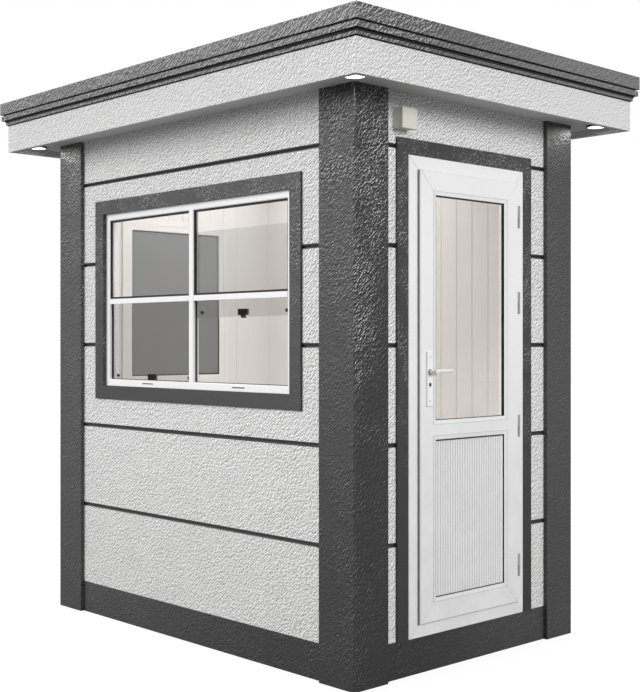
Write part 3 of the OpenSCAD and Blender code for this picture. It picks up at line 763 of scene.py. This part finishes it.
class GeometryTree:
    """A geometry node tree with named inputs, run on a mesh of points or edges."""

    name = "tree"
    inputs: tuple[str, ...] = ()

    def __init__(self) -> None:
        """Build the tree with its named sockets."""
        self.tree = bpy.data.node_groups.new(self.name, "GeometryNodeTree")
        face = self.tree.interface
        face.new_socket("Geometry", in_out="INPUT", socket_type="NodeSocketGeometry")
        self.keys: dict[str, str] = {}
        kinds = {**dict.fromkeys(self.inputs, "NodeSocketFloat"), "Material": "NodeSocketMaterial"}
        for label, kind in kinds.items():
            self.keys[label] = face.new_socket(label, in_out="INPUT", socket_type=kind).identifier
        face.new_socket("Geometry", in_out="OUTPUT", socket_type="NodeSocketGeometry")
        graph = Graph(self.tree)
        source = graph.add("NodeGroupInput").outputs
        shape = self.wire(graph, source)
        real = graph.add("GeometryNodeRealizeInstances", {"Geometry": shape}).outputs[0]
        dressed = graph.add("GeometryNodeSetMaterial", {"Geometry": real, "Material": source["Material"]})
        graph.add("NodeGroupOutput", {"Geometry": dressed.outputs[0]})

    def wire(self, graph: Graph, source: Sockets) -> Socket:
        """Build the shape and return its geometry socket."""
        raise NotImplementedError

    def run(self, name: str, points: list[Point], edges: list[Pair], material: Material,
            **values: float) -> bpy.types.Object:
        """Run the tree and keep its result as a plain mesh.

        Args:
            name: Name of the piece.
            points: Points of the input mesh, in metres.
            edges: Edges of the input mesh.
            material: Material of the piece.
            values: Values of the named inputs.

        Returns:
            The piece, at the origin.
        """
        rough = bpy.data.meshes.new(name + "_base")
        rough.from_pydata(points, edges, [])
        piece = stand(name, rough)
        modifier = piece.modifiers.new("shape", "NODES")
        modifier.node_group = self.tree
        modifier[self.keys["Material"]] = material
        for key, value in values.items():
            modifier[self.keys[key]] = value
        bpy.context.view_layer.update()
        seen = piece.evaluated_get(bpy.context.evaluated_depsgraph_get())
        done = bpy.data.meshes.new_from_object(seen)
        piece.modifiers.remove(modifier)
        piece.data = done
        done.name = name
        bpy.data.meshes.remove(rough)
        return piece


class Strips(GeometryTree):
    """Strips along edges: welded seams, joints, black strips of painted shade and laps."""

    name = "strips"
    inputs = ("Width", "Height")

    def wire(self, graph: Graph, source: Sockets) -> Socket:
        """Sweep a small rectangle along each edge.

        Args:
            graph: The tree's graph.
            source: The tree's inputs.

        Returns:
            The strips.
        """
        path = graph.add("GeometryNodeMeshToCurve", {"Mesh": source["Geometry"]}).outputs[0]
        profile = graph.add("GeometryNodeCurvePrimitiveQuadrilateral", {
            "Width": source["Width"], "Height": source["Height"]}).outputs[0]
        return graph.add("GeometryNodeCurveToMesh", {
            "Curve": path, "Profile Curve": profile, "Fill Caps": True}).outputs[0]


class Heads(GeometryTree):
    """Small domed heads of screws and lock barrels that face along X."""

    name = "heads"
    inputs = ("Diameter", "Rise")

    def wire(self, graph: Graph, source: Sockets) -> Socket:
        """Set a flattened ball on each point.

        Args:
            graph: The tree's graph.
            source: The tree's inputs.

        Returns:
            The heads.
        """
        ball = graph.add("GeometryNodeMeshUVSphere", {"Segments": 16, "Rings": 8, "Radius": 0.5})
        size = graph.add("ShaderNodeCombineXYZ", {
            "X": source["Rise"], "Y": source["Diameter"], "Z": source["Diameter"]}).outputs[0]
        return graph.add("GeometryNodeInstanceOnPoints", {
            "Points": source["Geometry"], "Instance": ball.outputs[0], "Scale": size}).outputs[0]


class Sleeves(GeometryTree):
    """Short round sleeves that lie along X."""

    name = "sleeves"
    inputs = ("Radius", "Length")

    def wire(self, graph: Graph, source: Sockets) -> Socket:
        """Set a cylinder on its side at each point.

        Args:
            graph: The tree's graph.
            source: The tree's inputs.

        Returns:
            The sleeves.
        """
        tube = graph.add("GeometryNodeMeshCylinder", {
            "Vertices": 40, "Radius": source["Radius"], "Depth": source["Length"]}).outputs["Mesh"]
        return graph.add("GeometryNodeInstanceOnPoints", {
            "Points": source["Geometry"], "Instance": tube,
            "Rotation": (0.0, math.pi / 2, 0.0)}).outputs[0]


@dataclass
class Shapes:
    """The geometry trees, built once each."""

    strips: Strips = field(default_factory=Strips)
    heads: Heads = field(default_factory=Heads)
    sleeves: Sleeves = field(default_factory=Sleeves)


def islands(mesh: bpy.types.Mesh) -> list[Box]:
    """Find the separate solids of a mesh.

    Args:
        mesh: The mesh of a CAD node.

    Returns:
        The lowest and highest corner of each solid, sorted.
    """
    merged = bmesh.new()
    merged.from_mesh(mesh)
    bmesh.ops.remove_doubles(merged, verts=merged.verts[:], dist=SAME_PLACE)
    left, boxes = set(merged.verts), []
    while left:
        group, waiting = set(), [left.pop()]
        while waiting:
            corner = waiting.pop()
            group.add(corner)
            near = {line.other_vert(corner) for line in corner.link_edges} & left
            left -= near
            waiting += near
        places = [corner.co for corner in group]
        boxes.append(tuple(Vector(pick(p[i] for p in places) for i in range(3)) for pick in (min, max)))
    merged.free()
    return sorted(boxes, key=lambda box: tuple(box[0]))


def couples(points: list[Point]) -> list[Pair]:
    """Return edges that join points two by two."""
    return [(i, i + 1) for i in range(0, len(points), 2)]


def rectangle(x: float, low: Point, high: Point, wider: float = 0.0) -> list[Point]:
    """Return the corners of an upright rectangle at depth x round a box, wider by a margin."""
    near, far, foot, top = low[1] - wider, high[1] + wider, low[2] - wider, high[2] + wider
    return [(x, near, foot), (x, far, foot), (x, far, top), (x, near, top)]


def loops(points: list[Point]) -> list[Pair]:
    """Return edges that join points four by four into closed loops."""
    return [(i, i + 1 if i % 4 < 3 else i - 3) for i in range(len(points))]


@dataclass
class SubAssembly:
    """A group of CAD nodes that share a place on the cabin."""

    palette: Palette
    shapes: Shapes
    nodes: dict[str, Finish | Slot] = field(default_factory=dict)

    def dress(self) -> None:
        """Give each CAD node its material."""
        for name, finish in self.nodes.items():
            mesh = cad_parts[name].data
            mesh.materials.clear()
            mesh.materials.append(self.palette.get(finish))
            LOG.info("node %s: %s", name, mesh.materials[0].name)

    def build(self) -> None:
        """Make the pieces that the CAD leaves to the looks."""

    def keep(self, piece: bpy.types.Object, body: Body, slot: Slot) -> None:
        """Ride a finished piece on its body.

        Args:
            piece: The piece, a plain mesh at the origin.
            body: Body that it rides on.
            slot: Slot of its material; not used.
        """
        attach(piece, body.value)
        LOG.info("piece %s: %d faces on %s", piece.name, len(piece.data.polygons), body.value)

    def strip(self, name: str, points: list[Point], pairs: list[Pair], finish: Finish | Slot,
              size: Span, body: Body, slot: Slot) -> None:
        """Lay strips along edges.

        Args:
            name: Name of the piece.
            points: Ends and corners of the strips.
            pairs: The points that each strip joins.
            finish: Finish of the strips.
            size: Width and height of a strip.
            body: Body that the piece rides on.
            slot: Slot of the piece.
        """
        width, height = size
        piece = self.shapes.strips.run(name, points, pairs, self.palette.get(finish),
                                       Width=width, Height=height)
        self.keep(piece, body, slot)

    def shade_strips(self, name: str, points: list[Point], pairs: list[Pair], thick: float) -> None:
        """Lay square black strips on the cabin that paint the shade in gaps, slots and under overhangs."""
        self.strip(name, points, pairs, Slot.BLACK_RUBBER, (thick, thick), Body.CABIN, Slot.BLACK_RUBBER)


@dataclass
class Walls(SubAssembly):
    """Posts, plinth, wall cores, rendered panels, lining and floor."""

    nodes: dict[str, Finish | Slot] = field(default_factory=lambda: {
        **dict.fromkeys(("corner_posts", "plinth"), Slot.DARK_RENDER),
        **dict.fromkeys(("front_wall", "back_wall", "left_wall", "right_wall_near", "right_wall_far",
                         "right_wall_head"), GROOVE),
        **dict.fromkeys(("front_cladding", "back_cladding", "left_cladding", "right_cladding"),
                        Slot.WHITE_RENDER),
        "wall_lining": Slot.LINING_BOARD, "floor": Slot.FLOOR_BOARD})
    # Size and set-back of the black strips that paint the shadow at the top of each groove
    groove_shade: float = 0.009
    groove_shade_in: float = 0.0054
    groove: Span = (0.002, 0.04)

    def build(self) -> None:
        """Lay a black strip under each panel that has another panel below it, painting the shadow at the
        top of the groove between them.
        """
        points: list[Point] = []
        for name, outward, trim in (("front_cladding", (0, -1), "window_trim"),
                                    ("back_cladding", (0, 1), None),
                                    ("left_cladding", (-1, 0), "side_trim"),
                                    ("right_cladding", (1, 0), "door_trim")):
            panels = islands(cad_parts[name].data)
            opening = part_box(trim) if trim else None
            for panel in panels:
                if any(self.over(panel, other) for other in panels):
                    points += self.groove_shade_run(panel, outward, opening)
        self.shade_strips("groove_shade_strips", points, couples(points), self.groove_shade)

    def over(self, panel: Box, other: Box) -> bool:
        """Say whether a panel lies over another one, with a groove between them.

        Args:
            panel: Corners of the panel.
            other: Corners of the other panel.

        Returns:
            True if it does.
        """
        (low, high), (bottom, top) = panel, other
        least, most = self.groove
        return least < low[2] - top[2] < most and all(
            bottom[i] < high[i] and top[i] > low[i] for i in range(2))

    def groove_shade_run(self, panel: Box, outward: Pair, opening: Box | None) -> list[Point]:
        """Find the ends of the black strip under a panel, one pair on each side of an opening.

        Args:
            panel: Corners of the panel.
            outward: Direction that the panel faces, in x and y.
            opening: Corners of the trim round the wall's opening, if it has one.

        Returns:
            The ends, set back from the panel's face.
        """
        low, high = panel
        height = low[2] - self.groove_shade / 2
        face, run = (0, 1) if outward[0] else (1, 0)
        depth = high[face] - self.groove_shade_in if outward[face] > 0 else low[face] + self.groove_shade_in
        stops = [low[run], high[run]]
        if opening and opening[0][2] < height < opening[1][2]:
            sides = ((low[run], opening[0][run] + self.groove_shade), (opening[1][run] - self.groove_shade, high[run]))
            stops = [stop for pair in sides if pair[1] - pair[0] > self.groove_shade for stop in pair]
        return [(depth, stop, height) if face == 0 else (stop, depth, height) for stop in stops]


@dataclass
class Windows(SubAssembly):
    """The four-light front window and the side window."""

    drain: float = 0.086
    # Size and place of the black strips that paint the shade in the drain slots
    drain_thick: float = 0.006
    drain_in: float = 0.0038
    drain_up: float = 0.0245
    # Size and height of the black strips that paint the shade along the sash runs
    sill_shade: float = 0.003
    sill_up: float = 0.041
    nodes: dict[str, Finish | Slot] = field(default_factory=lambda: {
        "window_trim": TRIM_RENDER, "side_trim": TRIM_RENDER,
        "window_frame": BAR_PLASTIC, "side_frame": CASING,
        "casings": CASING, "window_gasket": Slot.BLACK_RUBBER,
        "side_gasket": Slot.BLACK_RUBBER, "window_panes": Slot.CLEAR_GLASS,
        "left_sash": SASH_GLASS, "right_sash": SASH_GLASS,
        "sash_latches": Slot.BLACK_PLASTIC, "side_pane": Slot.GREY_GLASS})

    def build(self) -> None:
        """Lay black strips in the drain slots of the bottom bar and in front of each sash run, painting the
        shade in the slots and along the run.
        """
        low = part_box("window_frame")[0]
        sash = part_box("left_sash")[0][1]
        slots: list[Point] = []
        sills: list[Point] = []
        for left, right in islands(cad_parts["window_panes"].data):
            middle = (left[0] + right[0]) / 2
            slots += [(middle + side * self.drain / 2, low[1] + self.drain_in, low[2] + self.drain_up)
                      for side in (-1, 1)]
            sills += [(x, sash - self.sill_shade, low[2] + self.sill_up + self.sill_shade / 2)
                      for x in (left[0], right[0])]
        self.shade_strips("drain_shade_strips", slots, couples(slots), self.drain_thick)
        self.shade_strips("sill_shade_strips", sills, couples(sills), self.sill_shade)


@dataclass
class Door(SubAssembly):
    """The door with its frame, glass, ribbed panel, handle and hinges."""

    seam: Span = (0.0016, 0.0006)
    frame_inset: float = 0.004
    leaf_inset: float = 0.005
    bead: float = 0.017
    bead_depth: float = 0.003
    joint: Span = (0.003, 0.0012)
    joint_in: float = 0.0004
    # Size and set-back of the dark strip that paints the shade at the leaf's lap
    edge: Span = (0.0012, 0.005)
    edge_in: float = 0.0075
    screw: Span = (0.007, 0.0016)
    screw_in: float = 0.022
    barrel: Span = (0.0165, 0.003)
    keyhole_down: float = 0.023
    lever_up: float = 0.030
    sleeve: float = 0.0115
    sleeve_r: float = 0.0128
    sleeve_gap: float = 0.001
    rib_face: float = 0.0004
    rib_floor: float = 0.0045
    nodes: dict[str, Finish | Slot] = field(default_factory=lambda: {
        "door_trim": TRIM_RENDER, "door_frame": Slot.WHITE_PLASTIC,
        "door_leaf": Slot.WHITE_PLASTIC, "door_panel": Slot.WHITE_PLASTIC,
        "door_glass": DOOR_GLASS, "door_gasket": Slot.BLACK_RUBBER,
        "handle_plates": Slot.WHITE_METAL, "lever_handle": Slot.WHITE_METAL,
        "frame_hinges": Slot.GREY_METAL, "leaf_hinges": Slot.GREY_METAL})

    def dress(self) -> None:
        """Give each CAD node its material, and the panel one that knows its depth."""
        back, face = (corner[0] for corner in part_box("door_panel"))
        self.nodes["door_panel"] = RibbedFinish(
            "ribbed white plastic", grey(0.88), 0.32, shade=grey(0.85), ground_shade=0.3, channel_shade=grey(0.50),
            face=face - self.rib_face, floor=face - self.rib_floor, back=back)
        super().dress()

    def build(self) -> None:
        """Make the welded corners, joints, the dark strip of painted shade at the lap, screws, lock barrels
        and hub sleeves.
        """
        self.frame_welds()
        self.leaf_welds()
        self.beads()
        self.lap_shade()
        low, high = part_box("handle_plates")
        reach = (high[2] - low[2]) / 2 - self.screw_in
        self.heads("plate_screws", (-reach, reach), HUB, self.screw, Slot.WHITE_METAL)
        # The lock barrels are a real part, but black: painted shade of the keyhole, darker than their metal
        self.heads("lock_barrels", (-self.keyhole_down,), Slot.BLACK_PLASTIC, self.barrel,
                   Slot.BLACK_PLASTIC)
        self.hubs()

    def frame_welds(self) -> None:
        """Lay a seam from each outer corner of the frame to the leaf's corner."""
        low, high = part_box("door_frame")
        leaf_low, leaf_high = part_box("door_leaf")
        points: list[Point] = []
        for far_y, near_y, in_y in ((low[1], leaf_low[1], 1), (high[1], leaf_high[1], -1)):
            for far_z, near_z, in_z in ((low[2], leaf_low[2], 1), (high[2], leaf_high[2], -1)):
                points += [(high[0], far_y + self.frame_inset * in_y, far_z + self.frame_inset * in_z),
                           (high[0], near_y, near_z)]
        self.strip("frame_seams", points, couples(points), SEAM, self.seam, Body.CABIN, Slot.WHITE_PLASTIC)

    def leaf_welds(self) -> None:
        """Lay a seam from each corner of the leaf over its bead to the glass or the panel."""
        low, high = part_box("door_leaf")
        glass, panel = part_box("door_glass"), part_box("door_panel")
        points: list[Point] = []
        pairs: list[Pair] = []
        for edge_y, side_y, in_y in ((low[1], glass[0][1], 1), (high[1], glass[1][1], -1)):
            for edge_z, side_z, in_z in ((low[2], panel[0][2], 1), (high[2], glass[1][2], -1)):
                start = len(points)
                points += [(high[0], edge_y + self.leaf_inset * in_y, edge_z + self.leaf_inset * in_z),
                           (high[0], side_y - self.bead * in_y, side_z - self.bead * in_z),
                           (high[0] - self.bead_depth, side_y, side_z)]
                pairs += [(start, start + 1), (start + 1, start + 2)]
        self.strip("leaf_seams", points, pairs, SEAM, self.seam, Body.DOOR, Slot.WHITE_PLASTIC)

    def beads(self) -> None:
        """Draw the joints between the leaf and the beads of the glass and the panel."""
        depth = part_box("door_leaf")[1][0] - self.joint_in
        points = [corner for name in ("door_glass", "door_panel")
                  for corner in rectangle(depth, *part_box(name), self.bead)]
        self.strip("bead_joints", points, loops(points), JOINT, self.joint, Body.DOOR, Slot.WHITE_PLASTIC)

    def lap_shade(self) -> None:
        """Run a dark strip up the sides and along the foot of the leaf's lap, painting the shade in the gap
        there.
        """
        low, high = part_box("door_leaf")
        points = rectangle(high[0] - self.edge_in, low, high)
        pairs = loops(points)
        # The third edge is the top, which has no strip
        del pairs[2]
        self.strip("lap_shade_strip", points, pairs, LAP_SHADE, self.edge, Body.DOOR, Slot.BLACK_RUBBER)

    @staticmethod
    def plate_points(rises: tuple[float, ...], out: float = 0.0) -> list[Point]:
        """Find points on the middle line of both handle plates.

        Args:
            rises: Heights above the plates' middle.
            out: Distance from the plates' faces.

        Returns:
            The points, those of the inner plate first.
        """
        low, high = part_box("handle_plates")
        across, middle = (low[1] + high[1]) / 2, (low[2] + high[2]) / 2
        return [(x, across, middle + rise) for x in (low[0] - out, high[0] + out) for rise in rises]

    def heads(self, name: str, rises: tuple[float, ...], finish: Finish | Slot, size: Span,
              slot: Slot) -> None:
        """Set domed heads on both handle plates.

        Args:
            name: Name of the piece.
            rises: Heights above the plates' middle.
            finish: Finish of the heads.
            size: Diameter and rise of a head.
            slot: Slot of the piece.
        """
        piece = self.shapes.heads.run(name, self.plate_points(rises), [], self.palette.get(finish),
                                      Diameter=size[0], Rise=size[1])
        self.keep(piece, Body.DOOR, slot)

    def hubs(self) -> None:
        """Slip a grey sleeve on the hub of each lever."""
        points = self.plate_points((self.lever_up,), self.sleeve / 2)
        piece = self.shapes.sleeves.run("hub_sleeves", points, [], self.palette.get(HUB),
                                        Radius=self.sleeve_r, Length=self.sleeve - self.sleeve_gap)
        self.keep(piece, Body.LEVER, Slot.WHITE_METAL)


@dataclass
class Roof(SubAssembly):
    """Roof panel, fascia, cornice bands, roof sheet and downlights."""

    nodes: dict[str, Finish | Slot] = field(default_factory=lambda: {
        "roof_panel": Slot.WHITE_RENDER, "fascia": FASCIA_RENDER,
        **dict.fromkeys(("lower_cornice", "middle_cornice", "top_cornice"), BAND_RENDER),
        "roof_sheet": Slot.ROOF_MEMBRANE, "lamp_rings": Slot.BLACK_PLASTIC,
        "lamp_lenses": Slot.LAMP_LENS})
    sheets: int = 3
    lap: Span = (0.08, 0.004)
    lap_in: float = 0.002
    # Thickness of the black strips that paint the shadow under the middle and lower bands
    middle_band_shade: float = 0.009
    lower_band_shade: float = 0.004

    def build(self) -> None:
        """Lay the lapped joints of the roof sheet, and the black strips under the bands that paint their
        shadow.
        """
        self.laps()
        self.band_shade("middle_band_shade", "middle_cornice", "lower_cornice", self.middle_band_shade)
        self.band_shade("lower_band_shade", "lower_cornice", "fascia", self.lower_band_shade)

    def laps(self) -> None:
        """Lay the lapped joints of the roof sheet."""
        low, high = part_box("roof_sheet")
        step = (high[0] - low[0]) / self.sheets
        points = [(low[0] + i * step, y, high[2]) for i in range(1, self.sheets)
                  for y in (low[1] + self.lap_in, high[1] - self.lap_in)]
        self.strip("sheet_laps", points, couples(points), Slot.ROOF_MEMBRANE, self.lap, Body.CABIN,
                   Slot.ROOF_MEMBRANE)

    def band_shade(self, name: str, band: str, below: str, thick: float) -> None:
        """Run a black strip round the cabin under a band, painting the shadow beneath it.

        Args:
            name: Name of the piece.
            band: Node of the band.
            below: Node that the band lies on.
            thick: Thickness of the strip.
        """
        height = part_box(band)[0][2] - thick / 2
        low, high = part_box(below)
        points = [(low[0], low[1], height), (high[0], low[1], height),
                  (high[0], high[1], height), (low[0], high[1], height)]
        self.shade_strips(name, points, loops(points), thick)


@dataclass
class Fittings(SubAssembly):
    """The small box on the wall by the door."""

    nodes: dict[str, Finish | Slot] = field(default_factory=lambda: {"wall_box": Slot.CREAM_PLASTIC})


@dataclass
class Studio:
    """Camera, floor, world and lamps."""

    # The camera's place in metres, its heading in degrees, and its lens and sensor in millimetres
    eye: Point = (4.375, -4.206, 1.394)
    heading: float = 48.47
    lens: float = 62.57
    sensor: float = 36.0
    shift: Span = (0.0961, -0.0065)
    # Strength of the world's light, and what shows of it in glossy surfaces
    world: float = 0.52
    mirror: float = 0.35
    floor_half: float = 30.0
    # Tone of the floor for the object's light, and for the camera, to which it also glows
    floor_tones: Span = (0.26, 0.17)
    floor_glow: float = 0.9
    # Name, direction from the object, strength and width in degrees of each distant lamp
    suns: tuple[tuple[str, Point, float, float], ...] = (
        ("key", (-4.45, -8.37, 2.6), 2.15, 34.0), ("fill", (6.0, 0.3, 1.6), 1.92, 26.0),
        ("back", (-5.0, 6.5, 3.4), 1.1, 26.0))
    room: Span = (-0.2, 0.0)
    # Height of each of the room's lamps, and the height that it points at
    room_heights: tuple[Span, ...] = ((2.40, 0.0), (0.17, 3.0))
    room_size: Span = (1.3, 1.1)
    room_power: float = 12.0
    downlight_in: float = 0.04
    downlight_drop: float = 0.006
    downlight_size: Span = (0.07, 0.07)
    downlight_power: float = 0.8
    downlight_colour: Colour = (1.0, 0.97, 0.93)

    def camera(self) -> None:
        """Place a level camera at the photograph's viewpoint."""
        data = bpy.data.cameras.new("camera")
        data.lens, data.sensor_width = self.lens, self.sensor
        data.shift_x, data.shift_y = self.shift
        view = stand("camera", data)
        view.location = self.eye
        view.rotation_euler = (math.pi / 2, 0.0, math.radians(self.heading))
        bpy.context.scene.camera = view

    def sky(self) -> None:
        """Light the scene evenly, and show white behind the object."""
        world = bpy.data.worlds.new("studio")
        bpy.context.scene.world = world
        world.use_nodes = True
        graph = Graph(world.node_tree)
        glossy = graph.add("ShaderNodeLightPath").outputs["Is Glossy Ray"]
        plain = graph.math("MULTIPLY_ADD", glossy, self.mirror - self.world, self.world)
        strength = graph.math("MAXIMUM", plain, self.shown(graph))
        back = graph.add("ShaderNodeBackground", {"Color": WHITE_LIGHT, "Strength": strength})
        graph.add("ShaderNodeOutputWorld", {"Surface": back.outputs[0]})

    @staticmethod
    def shown(graph: Graph) -> Socket:
        """Return 1 for rays that show the background to the camera, straight or through glass."""
        path = graph.add("ShaderNodeLightPath").outputs
        return graph.math("MAXIMUM", path["Is Camera Ray"], path["Is Transmission Ray"])

    def floor(self) -> None:
        """Lay a wide pale floor that keeps the object's shadow."""
        mesh = bpy.data.meshes.new("floor_stage")
        wide = self.floor_half
        mesh.from_pydata([(-wide, -wide, 0), (wide, -wide, 0), (wide, wide, 0), (-wide, wide, 0)], [],
                         [(0, 1, 2, 3)])
        plane = stand("floor_stage", mesh)
        made = bpy.data.materials.new("pale floor")
        made.use_nodes = True
        graph = Graph(made.node_tree)
        hidden, seen = (rgba(grey(tone)) for tone in self.floor_tones)
        tone = graph.blend(self.shown(graph), hidden, seen)
        diffuse = graph.add("ShaderNodeBsdfDiffuse", {"Color": tone})
        glow = graph.add("ShaderNodeEmission", {
            "Color": WHITE_LIGHT, "Strength": graph.math("MULTIPLY", self.shown(graph), self.floor_glow)})
        both = graph.add("ShaderNodeAddShader", {0: diffuse.outputs[0], 1: glow.outputs[0]})
        graph.add("ShaderNodeOutputMaterial", {"Surface": both.outputs[0]})
        mesh.materials.append(made)

    @staticmethod
    def hang(data: bpy.types.Light, place: Point, target: Point) -> bpy.types.Object:
        """Hang a lamp that points at a target and isn't seen itself.

        Args:
            data: The lamp's light.
            place: Place of the lamp.
            target: Point that it faces.

        Returns:
            The lamp.
        """
        lamp = stand(data.name, data)
        lamp.location = place
        lamp.rotation_euler = (Vector(target) - Vector(place)).to_track_quat("-Z", "Y").to_euler()
        lamp.visible_camera = lamp.visible_transmission = False
        return lamp

    def area(self, name: str, place: Point, aim: float, size: Span, power: float) -> bpy.types.Object:
        """Hang a soft lamp that points straight up or down.

        Args:
            name: Name of the lamp.
            place: Place of the lamp.
            aim: Height that it points at.
            size: Length and width of the lamp.
            power: Power in watts.

        Returns:
            The lamp.
        """
        data = bpy.data.lights.new(name, "AREA")
        data.shape = "RECTANGLE"
        data.size, data.size_y = size
        data.energy = power
        return self.hang(data, place, (place[0], place[1], aim))

    def lamps(self) -> None:
        """Place the studio lamps, the room's light and the light of the downlights."""
        for name, toward, strength, width in self.suns:
            data = bpy.data.lights.new(name, "SUN")
            data.energy, data.angle = strength, math.radians(width)
            self.hang(data, toward, (0.0, 0.0, 0.0))
        for height, aim in self.room_heights:
            lamp = self.area("room", (*self.room, height), aim, self.room_size, self.room_power)
            lamp.visible_glossy = False
        low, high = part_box("lamp_lenses")
        for x in (low[0] + self.downlight_in, high[0] - self.downlight_in):
            for y in (low[1] + self.downlight_in, high[1] - self.downlight_in):
                lamp = self.area("downlight", (x, y, low[2] - self.downlight_drop), 0.0,
                                 self.downlight_size, self.downlight_power)
                lamp.data.shape, lamp.data.color = "ELLIPSE", self.downlight_colour
                lamp.visible_diffuse = False

    def build(self) -> None:
        """Set up the whole studio."""
        bpy.context.scene.view_settings.view_transform = "Standard"
        self.camera()
        self.sky()
        self.floor()
        self.lamps()


def main() -> None:
    """Build and dress the cabin, then light it."""
    logging.basicConfig(level=logging.INFO, format="%(message)s")
    palette, shapes = Palette(Effects()), Shapes()
    for kind in (Walls, Windows, Door, Roof, Fittings):
        LOG.info("sub-assembly %s", kind.__name__)
        part = kind(palette, shapes)
        part.dress()
        part.build()
    Studio().build()


if __name__ == "__main__":
    main()
